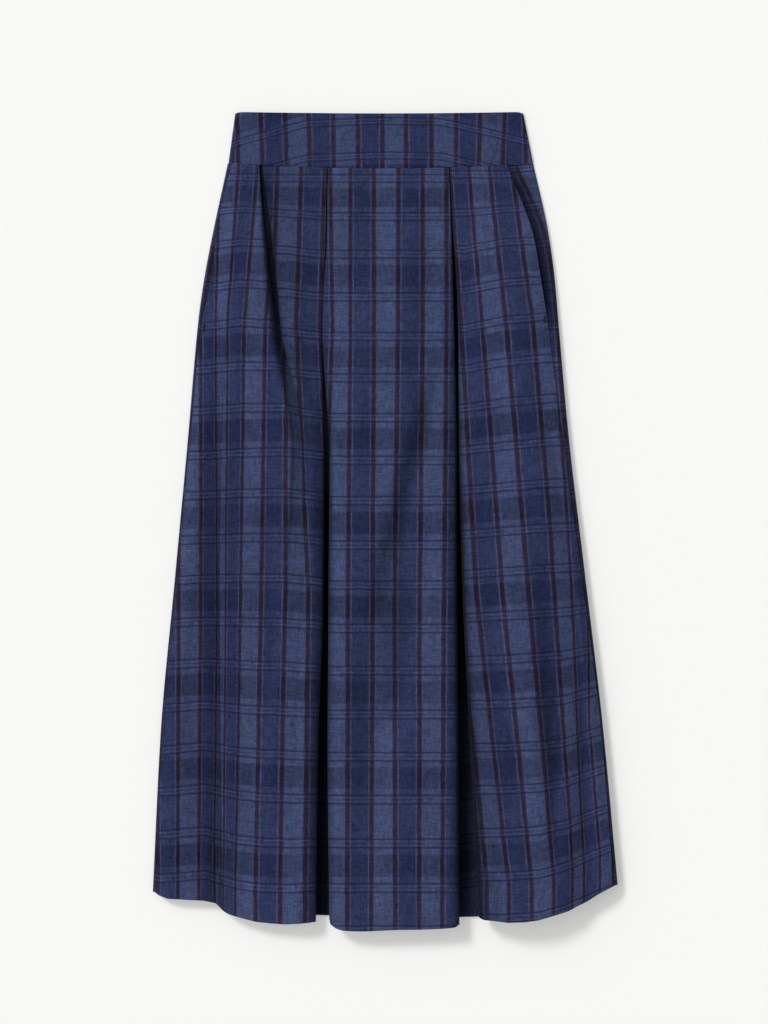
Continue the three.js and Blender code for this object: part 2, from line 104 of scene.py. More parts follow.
def hangLight(name, way, spreadAngle, strength):
    light = bpy.data.lights.new(name, "SUN")
    light.angle = math.radians(spreadAngle)
    light.energy = strength
    lamp = bpy.data.objects.new(name, light)
    bpy.context.scene.collection.objects.link(lamp)
    way = Vector(way).normalized()
    lamp.location = way * studioLook["lampAway"]
    lamp.rotation_mode = "QUATERNION"
    lamp.rotation_quaternion = way.to_track_quat("Z", "Y")


def layStudio():
    mesh = bpy.data.meshes.new("floor")
    half = studioLook["floorSize"] / 2
    low = studioLook["floorZ"]
    corners = [(-half, -half, low), (half, -half, low), (half, half, low), (-half, half, low)]
    mesh.from_pydata(corners, [], [(0, 1, 2, 3)])
    floor = bpy.data.objects.new("floor", mesh)
    bpy.context.scene.collection.objects.link(floor)
    paint = Paint("floorPaper")
    floorShine = studioLook["floorSpecular"]
    paint.surface(studioLook["floorColor"], studioLook["floorRoughness"], specular=floorShine)
    paint.shader.inputs["Emission Color"].default_value = (*studioLook["floorGlow"], 1)
    paint.shader.inputs["Emission Strength"].default_value = 1
    mesh.materials.append(paint.material)
    hangLight("window", studioLook["keyWay"], studioLook["keySpread"], studioLook["keyStrength"])
    hangLight("whiteWall", studioLook["wallWay"], studioLook["wallSpread"], studioLook["wallStrength"])
    world = bpy.data.worlds.new("paleRoom")
    world.use_nodes = True
    sky = world.node_tree.nodes["Background"]
    sky.inputs["Color"].default_value = (*studioLook["worldColor"], 1)
    sky.inputs["Strength"].default_value = studioLook["worldStrength"]
    bpy.context.scene.world = world
    bpy.context.scene.view_settings.view_transform = "Standard"
    print("floor and light laid")


# A socket that adds its Math nodes as it is used in an expression
class Wire:
    def __init__(self, tree, socket):
        self.tree = tree
        self.socket = socket

    def math(self, operation, *values, clamp=False):
        node = self.tree.nodes.new("ShaderNodeMath")
        node.operation = operation
        node.use_clamp = clamp
        for entry, value in zip(node.inputs, values):
            plug(self.tree, entry, value)
        return Wire(self.tree, node.outputs[0])

    def __add__(self, other):
        return self.math("ADD", self, other)

    __radd__ = __add__

    def __sub__(self, other):
        return self.math("SUBTRACT", self, other)

    def __rsub__(self, other):
        return self.math("SUBTRACT", other, self)

    def __mul__(self, other):
        return self.math("MULTIPLY", self, other)

    __rmul__ = __mul__

    def __abs__(self):
        return self.math("ABSOLUTE", self)

    def fract(self):
        return self.math("FRACT", self)

    def nearest(self):
        return self.math("ROUND", self)

    def sine(self):
        return self.math("SINE", self)

    def clamped(self):
        return self.math("ADD", self, 0, clamp=True)


def plug(tree, entry, value):
    if isinstance(value, Wire):
        tree.links.new(value.socket, entry)
    elif isinstance(value, tuple) and len(value) == 3 and len(entry.default_value) == 4:
        entry.default_value = (*value, 1)
    else:
        entry.default_value = value


# One material, with a method for any node and short ones for colours, noise and the surface
class Paint:
    def __init__(self, name):
        self.material = bpy.data.materials.new(name)
        self.material.use_nodes = True
        self.tree = self.material.node_tree
        self.shader = self.tree.nodes["Principled BSDF"]

    def node(self, kind, output=0, settings=None, **entries):
        node = self.tree.nodes.new(kind)
        for name, value in (settings or {}).items():
            setattr(node, name, value)
        for name, value in entries.items():
            plug(self.tree, node.inputs[name], value)
        return Wire(self.tree, node.outputs[output])

    def mix(self, factor, first, second, blend="MIX"):
        node = self.tree.nodes.new("ShaderNodeMix")
        node.data_type = "RGBA"
        node.blend_type = blend
        plug(self.tree, node.inputs[0], factor)
        plug(self.tree, node.inputs[6], first)
        plug(self.tree, node.inputs[7], second)
        return Wire(self.tree, node.outputs[2])

    def clothPlace(self, layer):
        place = self.node("ShaderNodeUVMap", settings={"uv_map": layer})
        parts = self.tree.nodes.new("ShaderNodeSeparateXYZ")
        self.tree.links.new(place.socket, parts.inputs[0])
        return Wire(self.tree, parts.outputs[0]), Wire(self.tree, parts.outputs[1])

    def painted(self, layer):
        return self.node("ShaderNodeAttribute", output=2, settings={"attribute_name": layer})

    def noise(self, x, y, detail, roughness, seed):
        spot = self.node("ShaderNodeCombineXYZ", X=x, Y=y, Z=seed)
        return self.node("ShaderNodeTexNoise", Vector=spot, Scale=1.0, Detail=detail, Roughness=roughness)

    def bump(self, height, distance):
        return self.node("ShaderNodeBump", Height=height, Distance=distance, Strength=1.0)

    def surface(self, baseColor, roughness, specular=0.2, metallic=0.0, sheen=0.0, normal=None):
        plug(self.tree, self.shader.inputs["Base Color"], baseColor)
        plug(self.tree, self.shader.inputs["Roughness"], roughness)
        plug(self.tree, self.shader.inputs["Metallic"], metallic)
        self.shader.inputs["Specular IOR Level"].default_value = specular
        self.shader.inputs["Sheen Weight"].default_value = sheen
        if normal is not None:
            plug(self.tree, self.shader.inputs["Normal"], normal)


def screenColor(red, green, blue):
    # The light of a colour that is given as screen values from 0 to 255
    parts = [value / 255 for value in (red, green, blue)]
    return tuple(((part + 0.055) / 1.055) ** 2.4 if part > 0.04045 else part / 12.92 for part in parts)


# Plaid linen: red warp stripes at whole numbers of u, pairs of dark weft lines at whole numbers of v.
# Places, halves and softness of the lines are shares of a run, and the rest are strengths.
plaidLook = {
    "stripeRun": 29.8,
    "pairRun": 50,
    "lightLight": screenColor(60, 70, 104),
    "darkLight": screenColor(42, 50, 83),
    "lightDark": screenColor(45, 52, 81),
    "darkDark": screenColor(31, 37, 69),
    "red": screenColor(41, 31, 50),
    "redDeep": screenColor(28, 14, 28),
    "lavender": screenColor(68, 66, 92),
    "weftLine": screenColor(22, 26, 52),
    "weftThin": screenColor(68, 78, 114),
    # painted shade: near-black laid over the cloth's colour where its folds lie deep in shadow
    "paintedShade": screenColor(1, 1, 4),
    "darkWarpHalf": 0.25,
    "darkWarpSoft": 0.006,
    "darkWeftHalf": 0.125,
    "darkWeftSoft": 0.01,
    "stripeHalf": 0.082,
    "stripeSoft": 0.03,
    "stripeCover": 0.92,
    "stripeDeepens": 0.8,
    "lavenderAt": 0.137,
    "lavenderHalf": 0.028,
    "lavenderSoft": 0.012,
    "lavenderCover": 0.8,
    "paleCover": 0.4,
    "pairHalf": 0.098,
    "pairLineHalf": 0.021,
    "pairSoft": 0.014,
    "pairCover": 0.75,
    "middleHalf": 0.01,
    "middleCover": 0.35,
    "thinAt": 0.048,
    "thinHalf": 0.014,
    "thinSoft": 0.012,
    "thinCover": 0.35,
    "wobble": 0.05,
    "sway": 0.03,
    "slub": 1.5,
    "mottle": 0.8,
    "fade": 0.24,
    "fadeLevel": 1.02,
    "washGain": 1.7,
    "washCut": 0.05,
    "breakGain": 1.2,
    "breakCut": 0.3,
    "weavePitch": 1.5,
    "weaveDepth": 0.0012,
    "weaveHeight": 0.03,
    "threadHeight": 0.16,
    "crumpleHeight": 1.6,
    "roughness": 0.9,
    "threadShine": 0.12,
    "specular": 0.08,
    "sheen": 0.04,
}

# The waistband's cloth is a little darker
bandTones = {
    "lightLight": screenColor(55, 66, 98),
    "darkLight": screenColor(38, 46, 80),
    "lightDark": screenColor(41, 48, 77),
    "darkDark": screenColor(28, 34, 65),
}

# Noise over the cloths: its scale across and along, detail, roughness and seed
clothNoise = {
    "wobble": (0.9, 2.6, 2, 0.5, 3.1),
    "sway": (1.7, 0.8, 2, 0.5, 8.4),
    "washed": (0.35, 0.4, 2, 0.5, 6.6),
    "fade": (0.45, 0.5, 2, 0.5, 2.3),
    "warpThreads": (0.7, 0.09, 3, 0.65, 1.7),
    "weftThreads": (0.08, 0.7, 3, 0.65, 5.2),
    "mottle": (0.2, 0.16, 4, 0.6, 9.6),
    "crumple": (0.055, 0.03, 3, 0.55, 7.7),
    "pocketFine": (32, 60, 2, 0.5, 4.4),
    "pocketBroad": (1.4, 1.1, 2, 0.5, 6.1),
}


def clothNoiseAt(paint, name, x, y):
    scaleX, scaleY, detail, roughness, seed = clothNoise[name]
    return paint.noise(x * scaleX, y * scaleY, detail, roughness, seed)


def bandMask(distance, half, soft):
    # 1 within half of the line, fading over soft either side of its edge
    return ((half - distance) * (0.5 / soft) + 0.5).clamped()


def darkPhase(place):
    # Distance from the middle of the dark band that repeats every two runs
    return abs((place * 0.5).fract() - 0.25)


def plaidCells(paint, look, u, v, washed):
    # The squares' colour, and how dark the weft is there: it is washed out in places
    warpDark = bandMask(darkPhase(u), look["darkWarpHalf"], look["darkWarpSoft"])
    weftDark = bandMask(darkPhase(v), look["darkWeftHalf"], look["darkWeftSoft"]) * washed
    lightRow = paint.mix(warpDark, look["lightLight"], look["darkLight"])
    darkRow = paint.mix(warpDark, look["lightDark"], look["darkDark"])
    return paint.mix(weftDark, lightRow, darkRow), weftDark


def warpStripes(paint, look, u, weftDark, color):
    # Red stripes, each with a lavender thread towards the dark band and a paler one on its other side
    nearest = u.nearest()
    offset = u - nearest
    parity = (nearest * 0.5).fract() * 2
    towardDark = offset * (1 - parity * 2)
    lavender = bandMask(abs(towardDark - look["lavenderAt"]), look["lavenderHalf"], look["lavenderSoft"])
    pale = bandMask(abs(towardDark + look["lavenderAt"]), look["lavenderHalf"], look["lavenderSoft"])
    threads = lavender * look["lavenderCover"] + pale * look["paleCover"]
    color = paint.mix(threads, color, look["lavender"])
    stripe = bandMask(abs(offset), look["stripeHalf"], look["stripeSoft"])
    stripeColor = paint.mix(weftDark * look["stripeDeepens"], look["red"], look["redDeep"])
    return paint.mix(stripe * look["stripeCover"], color, stripeColor)


def weftLines(paint, look, v, broken, color):
    # Two dark lines, a faint one between them and two thin pale ones, all broken by the slubs
    pair = abs(v - v.nearest())
    pairLine = bandMask(abs(pair - look["pairHalf"]), look["pairLineHalf"], look["pairSoft"])
    middleLine = bandMask(pair, look["middleHalf"], look["middleHalf"])
    thinLine = bandMask(abs(pair - look["thinAt"]), look["thinHalf"], look["thinSoft"])
    dark = pairLine * look["pairCover"] + middleLine * look["middleCover"]
    color = paint.mix(dark * broken, color, look["weftLine"])
    return paint.mix(thinLine * broken * look["thinCover"], color, look["weftThin"])


def mixPlaid(name, look):
    paint = Paint(name)
    rawU, rawV = paint.clothPlace("cloth")
    u = rawU + (clothNoiseAt(paint, "wobble", rawU, rawV) - 0.5) * look["wobble"]
    v = rawV + (clothNoiseAt(paint, "sway", rawU, rawV) - 0.5) * look["sway"]
    across = rawU * look["stripeRun"]
    along = rawV * look["pairRun"]
    warpThreads = clothNoiseAt(paint, "warpThreads", across, along)
    weftThreads = clothNoiseAt(paint, "weftThreads", across, along)
    washed = (clothNoiseAt(paint, "washed", rawU, rawV) * look["washGain"] - look["washCut"]).clamped()
    broken = ((warpThreads + weftThreads) * look["breakGain"] - look["breakCut"]).clamped()
    color, weftDark = plaidCells(paint, look, u, v, washed)
    color = warpStripes(paint, look, u, weftDark, color)
    color = weftLines(paint, look, v, broken, color)
    mottle = (clothNoiseAt(paint, "mottle", across, along) - 0.5) * look["mottle"]
    fade = (clothNoiseAt(paint, "fade", rawU, rawV) - 0.5) * look["fade"] + look["fadeLevel"]
    slub = ((warpThreads + weftThreads - 1) * look["slub"] + 1 + mottle) * fade
    shade = paint.node("ShaderNodeCombineColor", Red=slub, Green=slub, Blue=slub)
    color = paint.mix(1.0, color, shade, "MULTIPLY")
    # Painted shade: the cloth's colour darkens towards near-black by the shade painted on its points in
    # deep folds, pleats and pocket mouths
    color = paint.mix(paint.painted("paintedShade"), color, look["paintedShade"])
    turn = 2 * math.pi / look["weavePitch"]
    weave = (across * turn).sine() * (along * turn).sine() * look["weaveHeight"]
    crumple = clothNoiseAt(paint, "crumple", across, along) * look["crumpleHeight"]
    height = weave + (warpThreads + weftThreads) * look["threadHeight"] + crumple
    roughness = look["roughness"] - (warpThreads - 0.5) * look["threadShine"]
    normal = paint.bump(height, look["weaveDepth"])
    paint.surface(color, roughness, specular=look["specular"], sheen=look["sheen"], normal=normal)
    return paint.material


# Path of the cloth through its fold lines, for every row at once
def atShares(values, shares):
    values = np.asarray(values, float)
    knots = stationShares
    slopes = np.diff(values) / np.diff(knots)
    same = slopes[:-1] * slopes[1:] > 0
    total = np.where(same, slopes[:-1] + slopes[1:], 1)
    middle = np.where(same, 2 * slopes[:-1] * slopes[1:] / total, 0)
    tangents = np.concatenate([slopes[:1], middle, slopes[-1:]])
    i = np.clip(np.searchsorted(knots, shares, side="left") - 1, 0, len(knots) - 2)
    width = knots[i + 1] - knots[i]
    t = (shares - knots[i]) / width
    rise = t * t * (3 - 2 * t)
    lead = t * (1 - t) ** 2 * width * tangents[i]
    tail = t * t * (t - 1) * width * tangents[i + 1]
    return values[i] + (values[i + 1] - values[i]) * rise + lead + tail


def seamAt(x):
    reach = np.minimum(np.abs(x) / seamHalfWidth, 1)
    return seamY - seamDip * (1 - reach * reach) - seamGap / 2


def spread(a, b, share):
    return a + (b - a) * share


def turned(way, angle):
    c, s = np.cos(angle), np.sin(angle)
    return np.stack([way[..., 0] * c - way[..., 1] * s, way[..., 0] * s + way[..., 1] * c], -1)


def cornerArc(i, here, y, way, length, reach, steps):
    # Points round corner i, each with its direction, its height and its place, counted in corners
    came, goes = way[:, i - 1], way[:, i]
    turn = np.arctan2(came[:, 0] * goes[:, 1] - came[:, 1] * goes[:, 0], (came * goes).sum(-1))
    flat = np.abs(turn) < flatTurn
    radius = reach / np.tan(np.where(flat, 1, turn) / 2)
    side = turned(came, math.pi / 2)
    arc = []
    for part in np.linspace(0, 1, steps):
        run = np.where(flat, 2 * reach * part, radius * np.sin(turn * part))
        lift = np.where(flat, 0, radius * (1 - np.cos(turn * part)))
        point = here[:, i] + came * (run - reach)[:, None] + side * lift[:, None]
        aside = i - 1 if part < 0.5 else i + 1
        nearby = length[:, i - 1] if part < 0.5 else length[:, i]
        height = spread(y[:, i], y[:, aside], reach / nearby * abs(1 - 2 * part))
        arc.append((point, turned(came, turn * part), height, i + (part - 0.5) * 0.5))
    return arc


def straightRun(start, end, way, spanRun):
    # Points on the straight cloth between two corners, at most spanRun apart
    gap = np.linalg.norm(end[0] - start[0], axis=-1).max()
    extra = int(gap / spanRun)
    run = []
    for k in range(1, extra + 1):
        part = k / (extra + 1)
        point, height, place = (spread(start[j], end[j], part) for j in (0, 2, 3))
        run.append((point, way, height, place))
    return run


def roundedRows(x, z, y, soft, arcSteps, spanRun):
    # x, z and y hold a row of corners for each row of cloth; places says which corner each point is near
    here = np.stack([x, z], -1)
    stretch = np.diff(here, axis=1)
    length = np.linalg.norm(stretch, axis=-1)
    way = stretch / length[..., None]
    last = x.shape[1] - 1
    arcs = [[(here[:, 0], way[:, 0], y[:, 0], 0.0)]]
    for i in range(1, last):
        reach = np.minimum(soft[i], roundReach * np.minimum(length[:, i - 1], length[:, i]))
        arcs.append(cornerArc(i, here, y, way, length, reach, arcSteps[i]))
    arcs.append([(here[:, last], way[:, last - 1], y[:, last], float(last))])
    points = arcs[0]
    for i in range(last):
        points = points + straightRun(arcs[i][-1], arcs[i + 1][0], way[:, i], spanRun) + arcs[i + 1]
    flatPoints, ways, heights = (np.stack([point[k] for point in points], 1) for k in range(3))
    grid = np.stack([flatPoints[..., 0], heights, flatPoints[..., 1]], -1)
    normals = np.stack([-ways[..., 1], ways[..., 0]], -1)
    return grid, normals, np.array([point[3] for point in points])


def liftOff(grid, normals, rise):
    # Moves the cloth's middle along its own normals
    grid = grid.copy()
    grid[..., 0] += normals[..., 0] * rise
    grid[..., 2] += normals[..., 1] * rise
    return grid


def asSeen(grid):
    # Places were read from straight above, where higher cloth looks larger: it is drawn in to the axis
    near = 1 - grid[..., 2] * mm / cameraLook["height"]
    flat = grid.copy()
    for axis, name in ((0, "x"), (1, "y")):
        middle = cameraLook[name] / mm
        flat[..., axis] = middle + (grid[..., axis] - middle) * near
    return flat


def meshPiece(name, verts, faces, material, sharp=40):
    mesh = bpy.data.meshes.new(name)
    mesh.from_pydata(verts, [], faces)
    mesh.materials.append(material)
    mesh.shade_smooth()
    mesh.set_sharp_from_angle(angle=math.radians(sharp))
    piece = bpy.data.objects.new(name, mesh)
    bpy.context.scene.collection.objects.link(piece)
    return piece


def wallFaces(rows, count):
    # Both sides of a wall of rows by count points, then its four rims
    index = np.arange(rows * count).reshape(rows, count)
    under = index + rows * count
    a, b, c, d = index[:-1, :-1], index[1:, :-1], index[1:, 1:], index[:-1, 1:]
    faces = [np.stack([a, b, c, d], -1).reshape(-1, 4)]
    faces.append(np.stack([a, d, c, b], -1).reshape(-1, 4) + rows * count)
    left = [index[:-1, 0], under[:-1, 0], under[1:, 0], index[1:, 0]]
    right = [index[:-1, -1], index[1:, -1], under[1:, -1], under[:-1, -1]]
    top = [index[0, :-1], index[0, 1:], under[0, 1:], under[0, :-1]]
    bottom = [index[-1, :-1], under[-1, :-1], under[-1, 1:], index[-1, 1:]]
    faces += [np.stack(rim, -1) for rim in (left, right, top, bottom)]
    return np.concatenate(faces)


def clothWall(name, grid, normals, thick, uv, material, paintedShade=None):
    # A closed wall of cloth round the grid of its middle, with its plaid's uv and the shade painted into
    # its deep folds
    rows, count = grid.shape[:2]
    grid = asSeen(grid)
    out = np.stack([normals[..., 0], np.zeros((rows, count)), normals[..., 1]], -1) * (thick / 2)
    corners = np.concatenate([(grid + out).reshape(-1, 3), (grid - out).reshape(-1, 3)]) * mm
    faces = wallFaces(rows, count)
    piece = meshPiece(name, corners.tolist(), faces.tolist(), material, sharp=50)
    both = np.concatenate([uv.reshape(-1, 2), uv.reshape(-1, 2)])
    places = both[faces.ravel()].astype(np.float32)
    piece.data.uv_layers.new(name="cloth").data.foreach_set("uv", places.ravel())
    # Shade painted on each point, which darkens the cloth's colour in deep folds
    depth = np.zeros(rows * count) if paintedShade is None else paintedShade.ravel()
    paintedShades = np.concatenate([depth, depth]).astype(np.float32)
    piece.data.attributes.new("paintedShade", "FLOAT", "POINT").data.foreach_set("value", paintedShades)
    return piece


def clothArea(grid):
    # One side of the cloth, in square metres
    a = grid[1:, :-1] - grid[:-1, :-1]
    b = grid[:-1, 1:] - grid[:-1, :-1]
    return float(np.linalg.norm(np.cross(a, b), axis=-1).sum() * mm * mm)


# Edges of the two box pleats, shared by the cloth above and under each of them: x at the stations
pleatTwoLeft = (-71.2, -73.2, -75.6, -77.2, -75.2, -76, -82.5, -85)
pleatTwoLeftDeep = (-99, -100.5, -102.5, -105, -106.5, -106.5, -111.5, -116)
pleatTwoRightDeep = (-41.5, -44, -46, -47, -45.5, -38, -38, -38)
pleatTwoRight = (-69.6, -71, -75, -76.2, -67.8, -68.7, -69.8, -67.8)
pleatThreeLeft = (77.4, 81, 82.4, 84, 87, 87.4, 89, 90)
pleatThreeLeftDeep = (50, 56, 59.5, 62, 67, 70.5, 76, 80)
pleatThreeRightDeep = (106, 107.5, 109, 109.5, 108.5, 109.5, 120.5, 124)
pleatThreeRight = (79, 84, 87.8, 89.4, 90.6, 95, 105, 115)
onBack = (2,) * len(stationShares)

# Front panel: its fold lines from the left seam to the right one, close to those of the CAD part.
# Name, how far the cloth rounds at the line, hem y, how freely it creases, then x and z at the stations.
frontFolds = [
    ("leftSeam", 0, -453, 0,
     (-188, -207, -212, -223.5, -237.5, -254.5, -271.5, -279.5),
     (3.4, 5.4, 8.0, 6.6, 7.4, 8.4, 9.4, 10.4)),
    ("leftRim", 30, -460, 0.5,
     (-179.5, -199, -206.5, -216, -227, -242, -257.5, -262.5),
     (3.7, 5.8, 7.6, 8.6, 12.8, 16.2, 16.8, 16)),
    ("leftCrest", 30, -462.5, 1,
     (-172.5, -190.5, -199, -209, -216, -220, -221, -218.5),
     (4.1, 7.4, 9.8, 10.4, 11.8, 13, 14.2, 15)),
    ("leftValley", 30, -468, 0.6,
     (-167.5, -183, -190.5, -194, -196, -197.5, -196, -194.5),
     (4.3, 8.6, 11.2, 11.6, 8.4, 6.4, 6.4, 7)),
    ("leftLip", 30, -473, 0.4,
     (-162.5, -179.5, -188, -195, -200.5, -203.5, -202.5, -200.5),
     (4.5, 8.2, 11, 12, 12.6, 13.6, 15.6, 17.4)),
    ("leftShoulder", 30, -482, 1,
     (-158, -173.5, -179.5, -182, -182, -184.5, -184.5, -182),
     (4.7, 8.4, 11.2, 12.4, 15, 17.4, 20.4, 22.4)),
    ("leftField", 30, -488.5, 0.8,
     (-154.5, -162.5, -168, -170, -158, -156, -156, -158),
     (4.8, 9.4, 13.4, 15.8, 18.8, 20.8, 23, 24.6)),
    ("pleatOneLeftTop", 4, -489.2, 0,
     (-154, -149, -143.8, -138.6, -115.8, -124, -136, -148),
     (4.8, 11.6, 16.6, 19.6, 22.6, 23.4, 24.4, 25)),
    ("pleatOneLeftUnder", 2, -489.7, 0,
     (-154, -147.6, -141.6, -136, -112.2, -120.4, -132, -143),
     (3.4, 7, 10, 12, 17.6, 21.8, 24, 25)),
    ("pleatOneInnerTop", 2, -490.2, 0,
     (-157, -146.4, -139.8, -133.8, -109.2, -117.4, -128.5, -139.5),
     (3.4, 4.8, 6.4, 8, 15.6, 21, 24, 25)),
    ("pleatOneInnerUnder", 2, -490.4, 0,
     (-157, -145.2, -138.2, -131.8, -107, -115, -125.5, -135.5),
     (2, 3.2, 4.6, 6, 15, 20.6, 24.2, 25.2)),
    ("pleatOneDeepUnder", 2, -490.7, 0,
     (-138, -126, -122, -117.5, -104.8, -112.8, -122.6, -132),
     (2, 2.6, 3.4, 4.6, 14.6, 20.4, 24.4, 25.4)),
    ("pleatOneDeepTop", 2, -490.9, 0,
     (-138, -126, -122, -117.5, -102.8, -110.4, -120, -128.5),
     (3.4, 4.2, 5.2, 6.6, 15, 20.7, 24.6, 25.6)),
    ("pleatOneRightUnder", 3, -491.2, 0,
     (-150, -138, -131.6, -126.8, -101.2, -107.4, -117, -124.5),
     (3.4, 5.8, 7.4, 9, 16.8, 21.8, 25, 26)),
    ("pleatOneRightTop", 3, -491.3, 0,
     (-150, -137.6, -131.3, -126.4, -98.3, -103.8, -111.5, -118.5),
     (4.8, 8.6, 11, 13, 20, 23.2, 25.6, 26.4)),
    ("leftPanelCrest", 30, -490.7, 0.8,
     (-116, -112.5, -110, -106, -88.5, -91, -96.5, -103),
     (5.1, 9.6, 12.4, 15, 21, 24.6, 26.4, 27)),
    ("leftPanelEdge", 12, -489.2, 0.8,
     (-82, -83, -85.5, -88, -83, -83, -87.5, -93),
     (4.9, 8.9, 11.2, 13.2, 18.4, 21.4, 22.8, 23.4)),
    ("pleatTwoLeftTop", 5, -488.2, 0, pleatTwoLeft, (4.8, 7.6, 9, 10.2, 13.4, 15.4, 16.4, 17)),
    ("pleatTwoLeftUnder", 5, -484.8, 0, pleatTwoLeft, (3.4, 5, 5.6, 6.2, 7.6, 8.4, 8.8, 9)),
    ("pleatTwoLeftDeepTop", 3, -481.2, 0, pleatTwoLeftDeep, (3.4, 3.8, 4.1, 4.4, 5, 5.4, 5.6, 5.6)),
    ("pleatTwoLeftDeepUnder", 3, -479.1, 0, pleatTwoLeftDeep, onBack),
    ("pleatTwoRightDeepUnder", 3, -480.7, 0, pleatTwoRightDeep, onBack),
    ("pleatTwoRightDeepTop", 3, -482.4, 0, pleatTwoRightDeep, (3.4, 3.8, 4.1, 4.4, 5, 5.4, 5.6, 5.6)),
    ("pleatTwoRightUnder", 5, -483, 0, pleatTwoRight, (3.4, 5.2, 6.2, 7.2, 9.4, 11, 11.6, 12)),
    ("pleatTwoRightTop", 5, -486, 0, pleatTwoRight, (4.8, 8.2, 10.4, 12.4, 17.2, 20, 21, 21.4)),
    ("midPanelLeft", 18, -498.6, 1,
     (-55, -57.5, -59, -60, -57.5, -51.5, -50.5, -54),
     (5.2, 10, 13, 15.6, 21.4, 25.2, 27, 27.6)),
    ("midPanelCrest", 40, -499, 1,
     (3.5, 3.5, 3.5, 3.5, 4.5, 6, 8, 8.5),
     (5.4, 11, 14.6, 17.2, 23.2, 27.2, 29.2, 29.8)),
    ("midPanelRight", 18, -496.6, 1,
     (62, 65.5, 68, 69.5, 73.5, 78, 82, 83),
     (5.2, 10, 13, 15.6, 21.6, 26, 28, 28.8)),
    ("pleatThreeLeftTop", 7, -493, 0, pleatThreeLeft, (4.8, 8.2, 10.4, 12.4, 16.4, 19.2, 20.4, 21)),
    ("pleatThreeLeftUnder", 5, -487.3, 0, pleatThreeLeft, (3.4, 5.2, 6.2, 7.2, 9.2, 10.6, 11.6, 12.4)),
    ("pleatThreeLeftDeepTop", 3, -484.3, 0, pleatThreeLeftDeep, (3.4, 3.8, 4.1, 4.4, 5, 5.4, 6, 6.4)),
    ("pleatThreeLeftDeepUnder", 3, -483.2, 0, pleatThreeLeftDeep, onBack),
    ("pleatThreeRightDeepUnder", 3, -480.7, 0, pleatThreeRightDeep, onBack),
    ("pleatThreeRightDeepTop", 3, -481.2, 0, pleatThreeRightDeep, (3.4, 3.8, 4.1, 4.4, 5, 5.4, 6, 6.4)),
    ("pleatThreeRightUnder", 6, -482, 0, pleatThreeRight, (3.4, 5.2, 6.6, 8, 11, 13.2, 15, 16.4)),
    ("pleatThreeRightTop", 6, -483.2, 0, pleatThreeRight, (4.8, 8.6, 11.4, 14, 20, 25, 29, 32)),
    ("rightPanelLeft", 18, -487.9, 1,
     (93.5, 98.5, 101, 103.5, 108.5, 115.5, 130.5, 136.5),
     (5.2, 10, 13.6, 17, 25, 31, 36, 38.6)),
    ("rightPanelCrest", 30, -489.2, 1,
     (117, 130, 135, 140, 150, 161, 172, 176),
     (5.3, 10.6, 14.6, 18, 27, 34, 38.6, 41)),
    ("rightPanelFall", 24, -478, 1,
     (130, 153, 161, 168, 187, 202, 213, 216),
     (4.9, 10, 13.6, 16.4, 24, 30, 34, 36)),
    ("rightValley", 20, -466.5, 0.7,
     (137, 165, 174, 181.5, 203, 228, 241, 246),
     (4.5, 9, 12.6, 13, 15.6, 17, 19.5, 21.6)),
    ("rightRidge", 20, -454, 0.7,
     (142.5, 173.5, 183, 190, 209.5, 232, 252.5, 263),
     (4, 8, 11.8, 11.8, 14.6, 18.2, 23, 25)),
    ("rightSeam", 0, -445.4, 0,
     (148.5, 181, 190.5, 197.5, 215.5, 239.5, 262.5, 278.5),
     (3.4, 6.6, 10.4, 9.4, 11.4, 13.6, 15.8, 17.6)),
]
foldNames, foldSoft, foldHems, foldFreedom, foldX, foldZ = zip(*frontFolds)
foldPlaces = range(len(frontFolds))

# Points round a fold line, by the least reach of its rounding, and the front's smaller settings
frontLook = {
    "rows": 160, "span": 7,
    "softSteps": [(12, 9), (5, 5), (0, 4)],
    # then the shade painted into crease valleys, its limit, and how fast painted shade falls off between
    # fold lines
    "tuck": 0.5, "tuckFade": 3, "creaseShadeDepth": 16, "creaseShadeMost": 0.4, "paintedShadeFall": 3,
}


def rowShares(count):
    return (np.arange(count) / (count - 1)) ** rowPower


def panelSpan(panel, places):
    # Which points of a row lie on the panel's outer side
    start, end = foldNames.index(panel["from"]), foldNames.index(panel["to"])
    return (places >= start - nearly) & (places <= end + nearly)


def seenFromAbove(x):
    # Where the cloth runs back under itself, the x of the edge that covers it
    return np.minimum.accumulate(x[::-1])[::-1]


def arcLengths(grid):
    # How far along its row each point lies
    steps = np.linalg.norm(np.diff(grid[..., ::2], axis=1), axis=-1)
    return np.concatenate([np.zeros((len(grid), 1)), np.cumsum(steps, 1)], 1)
